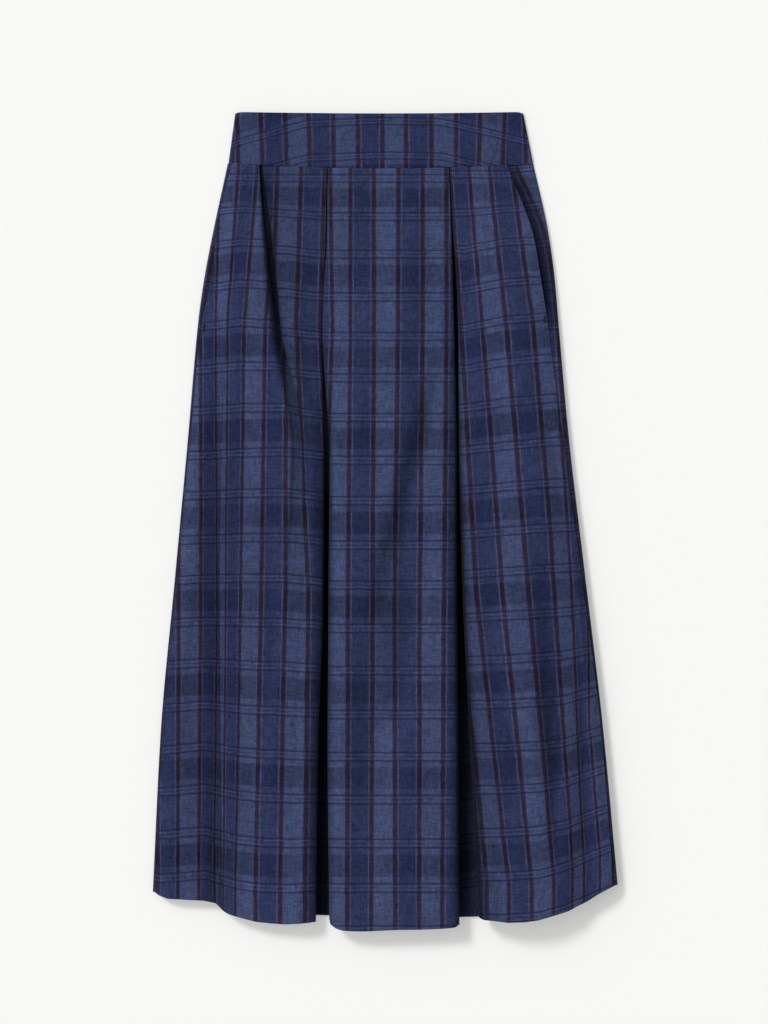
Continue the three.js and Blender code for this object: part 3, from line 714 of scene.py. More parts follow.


# Long soft creases, given one by one: from x, y to x, y, then width and height.
# They taper towards their ends, and bow a little.
creaseForm = {"taper": 0.8, "bow": 0.12, "bowTurns": 5.3}
frontCreases = [
    (-250, -20, -254, -250, 10, -2.4), (-236, -40, -240, -330, 14, -3.4), (-232, 180, -248, -20, 9, 1.8),
    (-226, -220, -234, -450, 12, -2.6), (-178, 320, -188, 120, 10, 2.2), (-170, 40, -174, -180, 12, 2.6),
    (-168, -240, -166, -470, 14, -3.0), (-116, 380, -112, 160, 10, 1.8), (-104, 60, -96, -160, 11, -2.6),
    (-100, -220, -104, -430, 11, 2.4), (-46, 400, -44, 250, 10, -1.8), (-30, 300, -26, 20, 14, 2.4),
    (64, 200, -12, -130, 13, -9.0), (16, 0, 2, -270, 22, -7.0), (-28, -120, -26, -400, 16, -4.6),
    (-22, 410, -18, 290, 12, -2.6), (42, 110, 30, -80, 12, 3.0), (32, -130, 40, -420, 15, 3.2),
    (50, 400, 44, 190, 14, -3.2), (4, -320, 10, -490, 18, 2.4), (112, 400, 122, 250, 9, 1.8),
    (128, 240, 146, 20, 12, -2.6), (150, 330, 168, 150, 10, 2.0), (146, -20, 160, -250, 14, 2.8),
    (184, 120, 206, -60, 11, 2.0), (190, -30, 208, -310, 15, -6.0), (234, -100, 246, -270, 8, 2.2),
    (200, -170, 210, -440, 11, -5.4), (214, -300, 226, -455, 11, 2.8), (240, -200, 246, -400, 7, -3.0),
    (-196, 250, -206, 60, 10, -2.4), (-140, 70, -134, -230, 9, -4.2), (96, 330, 100, 120, 9, -1.8),
    (-22, 190, -10, 20, 11, -2.2), (150, -230, 160, -360, 14, -4.0), (-206, -330, -200, -460, 10, -2.2),
]
puckerLook = {"height": 0.35, "fade": 26, "waves": [(9.1, 0.4), (14.3, 2.1), (23.7, 4.2)]}


def creaseRise(x, y, creases):
    rise = np.zeros_like(x)
    for x0, y0, x1, y1, width, height in creases:
        run = math.hypot(x1 - x0, y1 - y0)
        wayX, wayY = (x1 - x0) / run, (y1 - y0) / run
        along = ((x - x0) * wayX + (y - y0) * wayY) / run
        aside = (x - x0) * wayY - (y - y0) * wayX
        taper = np.sin(np.pi * np.clip(along, 0, 1)) ** creaseForm["taper"] * ((along > 0) & (along < 1))
        bow = aside + creaseForm["bow"] * width * np.sin(along * creaseForm["bowTurns"] + x0)
        rise += height * taper * np.exp(-(bow / width) ** 2)
    return rise


def seamPucker(x, below):
    waves = [np.sin(2 * np.pi * x / length + phase) for length, phase in puckerLook["waves"]]
    return puckerLook["height"] * sum(waves) / len(waves) * np.exp(-below / puckerLook["fade"])


# Places of the red stripes on the front, by panel: each line is one stripe's x at these shares of length
stripeShares = np.array([0.01, 0.2125, 0.565, 0.763, 0.95])
frontPanels = [
    {"from": "leftSeam", "to": "pleatOneLeftTop", "first": 0, "stripes": [
        (-271.1, -278.4, -279.6, -278.4, -277.2), (-247.9, -251.6, -251.8, -252.3, -252.8),
        (-224.7, -224.7, -224.7, -225.9, -227.2), (-202.0, -206.4, -204.5, -206.1, -207.6),
        (-179.2, -193.0, -195.4, -196.4, -197.3), (-156.4, -171.9, -176.0, -179.6, -183.2),
        (-133.2, -146.6, -151.9, -155.2, -158.8), (-110.0, -121.0, -121.4, -124.7, -127.1)]},
    {"from": "pleatOneRightTop", "to": "pleatTwoLeftTop", "first": 7, "stripes": [
        (-131.0, -138.1, -121.4, -124.7, -127.1), (-103.0, -108.8, -94.2, -96.6, -98.5),
        (-74.1, -79.5, -64.9, -66.1, -68.6)]},
    {"from": "pleatTwoRightTop", "to": "pleatThreeLeftTop", "first": 13, "stripes": [
        (-66.1, -63.7, -74.7, -75.9, -75.9), (-42.9, -43.4, -45.9, -46.2, -46.6),
        (-13.7, -13.4, -14.9, -15.7, -16.6), (15.6, 15.0, 10.7, 11.2, 11.7),
        (46.1, 46.1, 42.5, 42.1, 41.7), (74.2, 74.4, 71.2, 70.2, 69.2),
        (103.5, 103.5, 101.0, 99.8, 98.6)]},
    {"from": "pleatThreeRightTop", "to": "rightSeam", "first": 21, "stripes": [
        (49.8, 63.2, 79.1, 108.9, 124.6), (79.1, 92.7, 110.8, 130.3, 150.4),
        (102.6, 118.8, 143.7, 162.0, 179.1), (126.9, 147.1, 174.2, 191.3, 205.3),
        (154.7, 180.8, 207.2, 219.4, 228.5), (181.5, 203.5, 226.7, 234.0, 241.9),
        (209.6, 227.9, 246.2, 248.6, 262.1), (237.7, 252.3, 265.2, 268.4, 276.8)]},
]

# Heights of the weft pairs on the middle panel, from the one above the waist seam down
weftPairs = [
    464.3, 418.6, 371.9, 326.5, 273.6, 225.9, 175.2, 127.1, 74.5, 25.6, -28.9, -77.3, -130.4, -181.8,
    -235.3, -286.8, -339.0, -392.5, -447.0, -498.2, -549.5,
]
firstPair = -1

# How far the pairs run above those heights on each panel: x of some columns, then their rise by pair
weftLift = {
    "leftSeam": ((-268, -220, -177, -150), {
        0: (0, 0, 1, 1), 1: (3, 5, 9, 8), 2: (5, 9, 15, 14), 4: (8, 12, 17.5, 16), 7: (6, 6, 9, 10),
        10: (5, 7.5, 8.5, 8.5), 14: (8, 13, 6, 3.5), 17: (12, 16, 3, 0)}),
    "pleatOneRightTop": ((-136, -120, -92, -78), {
        0: (0, 0, 0, 0), 1: (5, 4, 2, 1), 2: (5.5, 5, 1, 0), 4: (6, 5.5, 2, 1), 7: (10.5, 10.5, 7, 5),
        10: (8, 8, 6, 4), 14: (3, 2, 1, 1), 17: (-1.5, -1.5, 1, 1)}),
    "pleatTwoRightTop": ((-60, 80), {0: (0, 0), 17: (0, 0)}),
    "pleatThreeRightTop": ((97, 146, 189, 219, 247, 277), {
        0: (5, 4.5, 4.5, 5, 5, 5), 1: (4.6, 8.8, 11, 13, 14, 14), 2: (5.5, 15, 17, 19, 20, 20),
        4: (10, 20, 24, 26, 26, 26), 8: (12.7, 17, 21, 22, 22, 22), 10: (13, 16.5, 19.5, 20.8, 23, 25),
        14: (11, 11.2, 13.4, 17, 27, 36), 17: (14, 14, 17, 26, 38, 50)}),
}


def countStripes(x, lines, first):
    # Stripe number at x: whole on each line, and a run apart past the outer ones
    number = np.interp(x, lines, first + np.arange(len(lines)))
    run = plaidLook["stripeRun"]
    number += np.where(x < lines[0], (x - lines[0]) / run, 0)
    return number + np.where(x > lines[-1], (x - lines[-1]) / run, 0)


def stripeNumber(x, share, panel):
    lines = np.array([np.interp(share, stripeShares, line) for line in panel["stripes"]])
    return countStripes(x, lines, panel["first"])


def pairNumber(y):
    heights = np.array(weftPairs)
    numbers = firstPair + np.arange(len(heights))
    return np.interp(-y, -heights, numbers)


def liftAt(x, pair, table):
    columns, lines = table
    pairs = sorted(lines)
    atColumns = np.array([np.interp(x, columns, lines[p]) for p in pairs])
    i = np.clip(np.searchsorted(pairs, pair) - 1, 0, len(pairs) - 2)
    low, high = np.array(pairs)[i], np.array(pairs)[i + 1]
    part = np.clip((pair - low) / (high - low), 0, 1)
    each = np.arange(len(x))
    return spread(atColumns[i, each], atColumns[i + 1, each], part)


def frontPlaid(grid, places, shares):
    # The plaid is counted on the outer sides, and runs on with the cloth's length between them
    rows, count = grid.shape[:2]
    uv = np.zeros((rows, count, 2))
    arc = arcLengths(grid)
    spans = [panelSpan(panel, places) for panel in frontPanels]
    shown = np.any(spans, axis=0)
    for r in range(rows):
        lift = np.zeros(count)
        number = np.zeros(count)
        for panel, span in zip(frontPanels, spans):
            x, y = grid[r, span, 0], grid[r, span, 1]
            number[span] = stripeNumber(seenFromAbove(x), shares[r], panel)
            table = weftLift[panel["from"]]
            rise = liftAt(x, pairNumber(y), table)
            lift[span] = liftAt(x, pairNumber(y - rise), table)
        uv[r, :, 0] = np.interp(arc[r], arc[r, shown], number[shown])
        uv[r, :, 1] = pairNumber(grid[r, :, 1] - np.interp(arc[r], arc[r, shown], lift[shown]))
    return uv


# The hem's edge on each panel, from left to right, as x and y of the cloth seen from above
hemLines = {
    "leftSeam": [(-279.5, -453), (-277.2, -455.5), (-265.5, -460), (-245.5, -461.2), (-221, -462.5),
                 (-206.7, -465.6), (-199.1, -473.2), (-193.4, -477.8), (-184.5, -481), (-171, -484.8),
                 (-157.6, -488.2), (-148, -489.4)],
    "pleatOneRightTop": [(-121.4, -491.3), (-105.2, -490.7), (-92, -489.2), (-86.3, -488.2)],
    "pleatTwoRightTop": [(-69.2, -482.4), (-68.4, -487), (-66.7, -491), (-60, -496.5), (-52, -498.9),
                         (-40, -499.8), (-25.9, -500), (14.4, -498.1), (48.6, -497.7), (74.2, -496.4),
                         (83.9, -495.3), (88, -493.5), (90, -485.7)],
    "pleatThreeRightTop": [(115.3, -483.2), (120.2, -486), (136.4, -487.7), (149.8, -489.5), (170, -488.8),
                           (186.4, -486.6), (206.5, -480.7), (224.2, -474.9), (232.8, -469.9),
                           (246.2, -463.4), (260.8, -454.2), (278.5, -444.6)],
}

# Shade painted into the cloth's colour where its folds lie in shadow, at some fold lines: at the waist,
# hip, thigh, knee and hem
paintedShadeShares = (0, 0.18, 0.28, 0.45, 1)
bare = (0, 0, 0, 0, 0)
fullPaintedShade = (1, 1, 1, 1, 1)
paintedFoldShade = {
    "leftSeam": (0, 0, 0.15, 0.35, 0.1), "leftRim": (0, 0, 0.05, 0.15, 0.05),
    "leftCrest": (0, 0, 0.06, 0.28, 0.26), "leftValley": (0, 0, 0.2, 0.65, 0.75),
    "leftLip": (0, 0, 0, 0.42, 0.34), "leftShoulder": (0, 0, 0, 0.28, 0.12),
    "leftField": (0.2, 0.1, 0, 0.1, 0.02),
    "pleatOneLeftTop": (0.45, 0.25, 0, 0, 0), "pleatOneLeftUnder": (0.5, 0.45, 0.12, 0, 0),
    "pleatOneInnerTop": (0.85, 0.72, 0.3, 0.1, 0), "pleatOneInnerUnder": (0.92, 0.85, 0.45, 0.2, 0),
    "pleatOneDeepUnder": (0.92, 0.88, 0.6, 0.3, 0), "pleatOneDeepTop": (0.92, 0.88, 0.6, 0.3, 0),
    "pleatOneRightUnder": (0.92, 0.88, 0.7, 0.35, 0), "pleatOneRightTop": (0.85, 0.75, 0.6, 0.4, 0),
    "leftPanelCrest": (0.2, 0.3, 0.3, 0.12, 0), "leftPanelEdge": (0, 0, 0.05, 0.14, 0.12),
    "pleatTwoLeftTop": (0.3, 0.3, 0.35, 0.4, 0.4), "pleatTwoLeftUnder": (1, 0.4, 0, 1, 0.85),
    "pleatTwoLeftDeepTop": (1, 0.5, 0.1, 1, 0.85), "pleatTwoLeftDeepUnder": (1, 0.5, 0.1, 1, 0.85),
    "pleatTwoRightDeepUnder": (1, 0.5, 0.1, 1, 0.9), "pleatTwoRightDeepTop": (1, 0.5, 0.1, 1, 0.95),
    "pleatTwoRightUnder": (1, 0.4, 0, 1, 1), "pleatTwoRightTop": (0.5, 0.2, 0.6, 0.8, 0.5),
    "midPanelLeft": (0, 0, 0.08, 0.08, 0.1), "midPanelRight": (0, 0.05, 0.1, 0.12, 0),
    "pleatThreeLeftTop": (0.25, 0.4, 0.6, 0.75, 0.75), "pleatThreeLeftUnder": fullPaintedShade,
    "pleatThreeLeftDeepTop": fullPaintedShade, "pleatThreeLeftDeepUnder": fullPaintedShade,
    "pleatThreeRightDeepUnder": (1, 1, 1, 1, 0.7), "pleatThreeRightDeepTop": (1, 1, 1, 1, 0.8),
    "pleatThreeRightUnder": (0.9, 0.95, 0.95, 0.95, 0.75),
    "pleatThreeRightTop": (0.3, 0.7, 0.6, 0.95, 0.95),
    "rightPanelLeft": (0, 0, 0, 0.24, 0.34), "rightPanelFall": (0, 0, 0, 0.06, 0.06),
    "rightValley": (0, 0, 0, 0.15, 0.2),
}


def paintedFrontShade(places, shares):
    # The painted shade falls off quickly from the line with more shade of each stretch
    atFolds = np.array([paintedFoldShade.get(name, bare) for name in foldNames])
    atShare = np.array([np.interp(shares, paintedShadeShares, line) for line in atFolds]).T
    i = np.clip(places.astype(int), 0, len(foldNames) - 2)
    part = places - i
    near, far = atShare[:, i], atShare[:, i + 1]
    fall = frontLook["paintedShadeFall"]
    toFar = np.where(near > far, 1 - (1 - part) ** fall, part ** fall)
    return spread(near, far, toFar)


def hemHeights(places, hemX):
    # The hem's line on the panels, and the folds' own hem heights between them
    hem = np.interp(places, foldPlaces, foldHems)
    for panel in frontPanels:
        span = panelSpan(panel, places)
        hemLine = np.array(hemLines[panel["from"]])
        hem[span] = np.interp(seenFromAbove(hemX[span]), hemLine[:, 0], hemLine[:, 1])
    return hem


def cutFront(material):
    shares = rowShares(frontLook["rows"])
    x = np.stack([atShares(values, shares) for values in foldX], 1)
    z = np.stack([atShares(values, shares) for values in foldZ], 1)
    tops = seamAt(x[0])
    y = spread(tops, np.array(foldHems, float), shares[:, None])
    steps = [next(count for least, count in frontLook["softSteps"] if soft >= least) for soft in foldSoft]
    grid, normals, places = roundedRows(x, z, y, foldSoft, steps, frontLook["span"])
    hem = hemHeights(places, grid[-1, :, 0])
    grid[..., 1] = spread(np.interp(places, foldPlaces, tops), hem, shares[:, None])
    uv = frontPlaid(grid, places, shares)
    free = np.interp(places, foldPlaces, foldFreedom)
    nearSeam = np.minimum(free * 2, 1)
    below = tops.max() - grid[..., 1]
    rise = creaseRise(grid[..., 0], grid[..., 1], frontCreases) * free
    rise += seamPucker(grid[..., 0], below) * nearSeam
    tuck = frontLook["tuck"] * np.exp(-below / frontLook["tuckFade"]) * nearSeam
    grid = liftOff(grid, normals, rise - tuck)
    # Painted shade in the creases' valleys, darker the deeper they sink, up to a limit
    paintedCreaseShade = np.clip(-rise / frontLook["creaseShadeDepth"], 0, frontLook["creaseShadeMost"])
    paintedShade = np.maximum(paintedFrontShade(places, shares), paintedCreaseShade)
    print("front cut:", grid.shape, "one side", round(clothArea(grid), 4), "m2",
          "waist", round(pathLength(grid, 0)), "hem", round(pathLength(grid, -1)))
    return clothWall("front_cloth", grid, normals, clothThick, uv, material, paintedShade)


def pathLength(grid, row):
    return float(np.linalg.norm(np.diff(grid[row], axis=0), axis=-1).sum())


# Back panels: flat on the surface, turned up and round at the sides to the seams on top
backLook = {
    "rows": 110, "span": 5, "hemMiddle": -472, "hemShares": (0, 0.5, 0.85, 0.97, 1),
    "flatShares": (0.5, 0.9), "flatSoft": 10, "turnSoft": 9 * roundReach,
    "pairDrop": 14, "pairSlope": 0.1, "ripplesFrom": 0.2, "ripplesTo": 2.4,
}

# Either side of the back: its outline, the height of its turned-up edge and its plaid, at the stations
leftWrap = {
    "name": "back_cloth_left", "sign": -1, "seam": 0, "hem": -450.5, "seamHem": -453,
    "side": (-192, -211, -221.5, -228, -240.4, -256.6, -273.8, -283.5),
    "rise": (2, 4, 4.6, 5.2, 6, 7, 8, 9),
    "stripe": 0, "stripeInset": (5, 5, 5, 4, 3, 2, 2, 2), "mouthShadeStrength": 0.2,
}
rightWrap = {
    "name": "back_cloth_right", "sign": 1, "seam": -1, "hem": -441.5, "seamHem": -446,
    "side": (180.5, 199.5, 207, 211, 223.5, 243.7, 265.4, 283.5),
    "rise": (2, 5.2, 6.6, 8, 10, 12.2, 14.4, 16.2),
    "stripe": 30, "stripeInset": (21, 4, 1.5, 1, 3, 2.2, 1.8, 2.4), "mouthShadeStrength": 1,
}
backRipples = [
    (40, 380, 46, 180, 11, 0.32), (66, 250, 74, -20, 13, 0.3), (24, 120, 26, -160, 14, 0.34),
    (92, -40, 104, -300, 12, 0.3), (136, 60, 156, -190, 10, 0.32), (58, -180, 62, -430, 15, 0.34),
    (170, -170, 196, -400, 12, 0.3), (118, 330, 128, 150, 9, 0.28),
]

# Shade painted on the back inside the pocket mouths, by share of the length
mouthShades = {
    "shares": (0, 0.03, 0.1, 0.2, 0.215, 0.25),
    "paintedShades": (0.5, 0.8, 0.85, 0.9, 0.6, 0),
    "width": 12,
}


def wrapEnd(wrap, shares):
    return atShares(foldX[wrap["seam"]], shares) - wrap["sign"] * seamLap


def paintedMouthShade(wrap, shares, fromSeam):
    depth = wrap["mouthShadeStrength"] * np.interp(shares, mouthShades["shares"], mouthShades["paintedShades"])
    fromFront = np.maximum(fromSeam - seamLap, 0)
    return depth[:, None] * np.exp(-(fromFront / mouthShades["width"]) ** 2)


def cutBack(wrap, material):
    shares = rowShares(backLook["rows"])
    sign = wrap["sign"]
    side = atShares(wrap["side"], shares) - sign * clothThick / 2
    rise = atShares(wrap["rise"], shares)
    end = wrapEnd(wrap, shares)
    flat = np.full_like(side, backZ)
    middle = np.full_like(side, sign * seamGap / 2)
    hems = [spread(backLook["hemMiddle"], wrap["hem"], share ** 2) for share in backLook["hemShares"]]
    hems.append(wrap["seamHem"])
    x = np.stack([middle, *(side * share for share in backLook["flatShares"]), side, side, end], 1)
    z = np.stack([flat, flat, flat, flat, rise, rise], 1)
    y = np.stack([spread(seamAt(x[:, i]), hem, shares) for i, hem in enumerate(hems)], 1)
    flatSoft, turnSoft = backLook["flatSoft"], backLook["turnSoft"]
    soft = [0, flatSoft, flatSoft, turnSoft, turnSoft, 0]
    grid, normals, places = roundedRows(x, z, y, soft, [1, 3, 3, 7, 7, 1], backLook["span"])
    if sign < 0:
        grid, normals, places = grid[:, ::-1], -normals[:, ::-1], places[::-1]
    arc = arcLengths(grid)
    fromSeam = np.abs(arc - (arc[:, :1] if sign < 0 else arc[:, -1:]))
    inward = fromSeam - np.abs(end - side)[:, None]
    inset = atShares(wrap["stripeInset"], shares)[:, None]
    uv = np.zeros((*grid.shape[:2], 2))
    uv[..., 0] = wrap["stripe"] - sign * (inward + inset) / plaidLook["stripeRun"]
    uv[..., 1] = pairNumber(grid[..., 1] + np.abs(inward) * backLook["pairSlope"] - backLook["pairDrop"])
    ripple = creaseRise(np.abs(grid[..., 0]), grid[..., 1], backRipples)
    onFlat = (places > backLook["ripplesFrom"]) & (places < backLook["ripplesTo"])
    grid[..., 2] += np.where(onFlat, ripple, 0)
    # Painted shade on the back beside the front's edge in the pocket mouth
    paintedShade = paintedMouthShade(wrap, shares, fromSeam)
    print(wrap["name"], "cut: one side", round(clothArea(grid), 4), "m2")
    return clothWall(wrap["name"], grid, normals, clothThick, uv, material, paintedShade)


# Waistband: its front lies over the two backs, which turn round at the sides
band = {
    "leftSide": (-191.2, -183), "rightSide": (180.5, 168.5),
    "leftSeam": (-186.7, -178.5), "rightSeam": (149.2, 149.2),
    "height": 62, "rows": 30, "span": 6, "cornerDrop": 3.4, "cornerSharp": 70,
    "frontZ": 5.2, "frontTopZ": 7, "sideZ": 3.5,
    "crownShares": (0, 0.08, 0.3, 0.55, 0.8, 0.94, 1), "crownSoft": 20, "crownSteps": 6,
    "channelHalf": 9, "rampHalf": 17, "channelRise": 2.2, "channelSoft": 3,
    "slitHalf": 1.3, "slitFrom": 483, "flatShare": 0.6, "flatSoft": 10,
    "pucker": 0.8, "puckerScale": 1.3, "puckerShift": 40,
    "tuck": 0.7, "tuckFade": 1.6, "billow": 0.25, "billowRun": 17,
}
bandStripes = {
    "first": 1,
    "top": (-180.3, -152.5, -121.8, -93.8, -63.3, -33.9, -3.0, 24.8, 56.9, 86.0, 116.0, 146.0, 169.3),
    "low": (-178.6, -149.9, -119.9, -92.5, -62.6, -33.3, -3.0, 24.8, 56.9, 86.0, 114.7, 142.1, 171.8),
    "archX": (-188.1, -180.8, -96.6, -6.3, 66.9, 112.0, 171.8, 180.3),
    "archY": (458.2, 461.9, 485.1, 488.7, 487.5, 477.8, 463.1, 460.7),
    "pairRun": 42,
}


def bandY(x, side, share):
    reach = np.minimum(np.abs(x / side), 1)
    top = bandTopY - bandTopDip * (1 - reach * reach) - band["cornerDrop"] * reach ** band["cornerSharp"]
    return spread(seamAt(x) + seamGap, top, share)


def bandPlaid(grid, shares):
    uv = np.zeros((*grid.shape[:2], 2))
    for r, share in enumerate(shares):
        lines = spread(np.array(bandStripes["low"]), np.array(bandStripes["top"]), share)
        x = grid[r, :, 0]
        uv[r, :, 0] = countStripes(x, lines, bandStripes["first"])
        arch = np.interp(x, bandStripes["archX"], bandStripes["archY"])
        uv[r, :, 1] = 1 + (arch - grid[r, :, 1]) / bandStripes["pairRun"]
    return uv


def bandRise(x, shares):
    # Puckers and a tuck along the waist seam, and a slight billow between the band's edges
    above = shares * band["height"]
    rise = seamPucker(x * band["puckerScale"] + band["puckerShift"], above) * band["pucker"]
    rise -= band["tuck"] * np.exp(-above / band["tuckFade"])
    return rise + band["billow"] * np.sin(x / band["billowRun"]) * np.sin(np.pi * shares)


def cutBandFront(material):
    shares = np.linspace(1, 0, band["rows"])
    left = spread(*band["leftSeam"], shares) + seamGap / 2
    right = spread(*band["rightSeam"], shares) - seamGap / 2
    side = spread(*band["leftSide"], shares)
    crown = spread(band["frontZ"], band["frontTopZ"], shares)
    edge = np.full_like(crown, band["sideZ"])
    parts = band["crownShares"]
    x = np.stack([spread(left, right, part) for part in parts], 1)
    z = np.stack([crown if 0 < part < 1 else edge for part in parts], 1)
    y = np.stack([bandY(x[:, i], side, shares) for i in range(len(parts))], 1)
    soft = [band["crownSoft"]] * len(parts)
    steps = [band["crownSteps"]] * len(parts)
    grid, normals, _ = roundedRows(x, z, y, soft, steps, band["span"])
    grid[..., 1] = bandY(grid[..., 0], side[:, None], shares[:, None])
    uv = bandPlaid(grid, shares)
    grid = liftOff(grid, normals, bandRise(grid[..., 0], shares[:, None]))
    print("band front cut: one side", round(clothArea(grid), 4), "m2")
    return clothWall("band_cloth_front", grid, normals, bandThick, uv, material)


def cutBandBack(name, sides, seams, sign, material):
    # It climbs over the zip's channel at the centre back, where it is open above the slider
    shares = np.linspace(1, 0, band["rows"])
    flatZ = bandThick / 2
    outermost = spread(*sides, shares)
    side = outermost - sign * flatZ
    end = spread(*seams, shares) + sign * seamGap / 2
    slit = np.where(bandY(0, outermost, shares) > band["slitFrom"], band["slitHalf"], seamGap / 2)
    low = np.full_like(shares, flatZ)
    high = low + band["channelRise"]
    upper = np.full_like(shares, band["sideZ"])
    channel = np.full_like(shares, sign * band["channelHalf"])
    ramp = np.full_like(shares, sign * band["rampHalf"])
    x = np.stack([sign * slit, channel, ramp, side * band["flatShare"], side, side, end], 1)
    z = np.stack([high, high, low, low, low, upper, upper], 1)
    y = np.stack([bandY(x[:, i], outermost, shares) for i in range(7)], 1)
    channelSoft, turnSoft = band["channelSoft"], (band["sideZ"] - flatZ) * roundReach
    soft = [0, channelSoft, channelSoft, band["flatSoft"], turnSoft, turnSoft, 0]
    grid, normals, _ = roundedRows(x, z, y, soft, [1, 4, 4, 3, 6, 6, 1], band["span"])
    if sign < 0:
        grid, normals = grid[:, ::-1], -normals[:, ::-1]
    grid[..., 1] = bandY(grid[..., 0], outermost[:, None], shares[:, None])
    uv = bandPlaid(grid, shares)
    print(name, "cut: one side", round(clothArea(grid), 4), "m2")
    return clothWall(name, grid, normals, bandThick, uv, material)


# Pocket bags: cloth folded back on itself under the fronts, beside each pocket mouth
pocketBag = {
    "firstShare": 0.0667, "lastShare": 0.2826, "rows": 44, "span": 6, "leftFold": -166, "rightFold": 116,
    "edgeGap": 0.6, "lowRun": 7, "highShort": 26, "lowSoft": 3, "lowZ": backZ + layerPitch + 0.1,
    "footCurve": 13, "footPower": 3,
}


def cutPocket(name, wrap, foldAt, material):
    shares = np.linspace(pocketBag["firstShare"], pocketBag["lastShare"], pocketBag["rows"])
    sign = wrap["sign"]
    edge = wrapEnd(wrap, shares) - sign * pocketBag["edgeGap"]
    height = spread(seamAt(np.array(wrap["side"][0], float)), wrap["hem"], shares)
    foot = np.linspace(0, 1, pocketBag["rows"]) ** pocketBag["footPower"]
    fold = foldAt + sign * pocketBag["footCurve"] * foot
    low = np.full_like(edge, pocketBag["lowZ"])
    high = low + layerPitch
    start = np.maximum(atShares(wrap["rise"], shares), pocketBag["lowZ"])
    lowEdge = edge - sign * pocketBag["lowRun"]
    highEdge = edge - sign * pocketBag["highShort"]
    x = np.stack([edge, lowEdge, fold, fold, highEdge], 1)
    z = np.stack([start, low, low, high, high], 1)
    y = np.repeat(height[:, None], 5, 1)
    turnSoft = layerPitch / 2
    soft = [0, pocketBag["lowSoft"], turnSoft, turnSoft, 0]
    grid, normals, _ = roundedRows(x, z, y, soft, [1, 5, 5, 5, 1], pocketBag["span"])
    if sign > 0:
        grid, normals = grid[:, ::-1], -normals[:, ::-1]
    uv = np.stack([grid[..., 0] / plaidLook["stripeRun"], -grid[..., 1] / plaidLook["pairRun"]], -1)
    print(name, "cut: one side", round(clothArea(grid), 4), "m2")
    return clothWall(name, grid, normals, clothThick, uv, material)


# Thread bars that close the ends of the pocket mouths, as short rows of stitches laid on the cloth
tackLook = {
    "right": (193.5, 246), "left": (-220.5, 236),
    "bars": 15, "pitch": 0.55, "reach": 1.5, "slant": 0.15, "wave": 0.25, "waveTurn": 2.3,
    "radius": 0.28, "sunk": 0.6, "color": screenColor(24, 27, 46),
}
threadForm = {"sides": 6, "rings": 5, "arch": 1.6, "dip": 0.6, "tip": 0.35}


def threadBar(verts, faces, a, b, radius, sides=threadForm["sides"], rings=threadForm["rings"]):
    # A bar that arches from a to b, and thins towards both
    a, b = Vector(a), Vector(b)
    up = Vector((0, 0, 1))
    across = (b - a).normalized().cross(up).normalized()
    base = len(verts)
    for k in range(rings):
        part = k / (rings - 1)
        arch = math.sin(math.pi * part)
        centre = a.lerp(b, part) + up * radius * (threadForm["arch"] * arch - threadForm["dip"])
        size = radius * spread(threadForm["tip"], 1, arch ** 0.5)
        for s in range(sides):
            turn = 2 * math.pi * s / sides
            verts.append(tuple((centre + across * math.cos(turn) * size + up * math.sin(turn) * size) * mm))
    for k in range(rings - 1):
        here, beyond = base + k * sides, base + (k + 1) * sides
        for s in range(sides):
            n = (s + 1) % sides
            faces.append((here + s, here + n, beyond + n, beyond + s))
    faces.append(tuple(base + s for s in reversed(range(sides))))
    faces.append(tuple(base + (rings - 1) * sides + s for s in range(sides)))


def topAt(piece, x, y):
    # Height of the piece's upper side under a point, in mm
    hit, where = piece.ray_cast(Vector((x * mm, y * mm, 1)), Vector((0, 0, -1)))[:2]
    return where.z / mm if hit else 0


def sewTack(name, piece, place, material):
    verts, faces = [], []
    x, y = place
    bars, reach, slant = tackLook["bars"], tackLook["reach"], tackLook["slant"]
    for k in range(bars):
        height = y + (k - (bars - 1) / 2) * tackLook["pitch"]
        wave = tackLook["wave"] * math.sin(k * tackLook["waveTurn"])
        left, right = x - reach + wave, x + reach + wave
        z = max(topAt(piece, spot, height) for spot in (left, right, x))
        z += tackLook["radius"] * tackLook["sunk"]
        threadBar(verts, faces, (left, height - slant, z), (right, height + slant, z), tackLook["radius"])
    return meshPiece(name, verts, faces, material)


# Closure inside the centre back: two tapes and rows of coil teeth below the slider
zipLook = {
    "topY": 486, "bottomY": 250, "tapeRows": 60, "tapeLines": (0.25, 1.2, 4, 9), "tapeThick": 0.28,
    "tapeZ": 1.05, "bandZ": 4.05, "climbFrom": 428, "climbRun": 12, "threadRun": 3,
    "teethBelowTop": 14, "teethAboveFoot": 4, "toothPitch": 1.5, "toothWidth": 1.7, "toothOver": 0.35,
    "toothRadius": 0.32, "toothSides": 5, "toothRings": 4,
    "tapeColor": screenColor(40, 47, 76), "toothColor": screenColor(34, 40, 64),
}


def zipZ(y):
    # The tape lies on the back panels, then climbs onto the band's raised channel
    part = min(max((y - zipLook["climbFrom"]) / zipLook["climbRun"], 0), 1)
    return spread(zipLook["tapeZ"], zipLook["bandZ"], part * part * (3 - 2 * part))


def makeTape(name, sign, material):
    rows = zipLook["tapeRows"]
    heights = np.linspace(zipLook["topY"], zipLook["bottomY"], rows)
    lines = np.array(zipLook["tapeLines"]) * sign
    if sign < 0:
        lines = lines[::-1]
    count = len(lines)
    x = np.repeat(lines[None, :], rows, 0)
    middle = np.array([zipZ(height) for height in heights]) + zipLook["tapeThick"] / 2
    grid = np.stack([x, np.repeat(heights[:, None], count, 1), np.repeat(middle[:, None], count, 1)], -1)
    normals = np.zeros((rows, count, 2))
    normals[..., 1] = 1
    uv = grid[..., :2] / zipLook["threadRun"]
    return clothWall(name, grid, normals, zipLook["tapeThick"], uv, material)


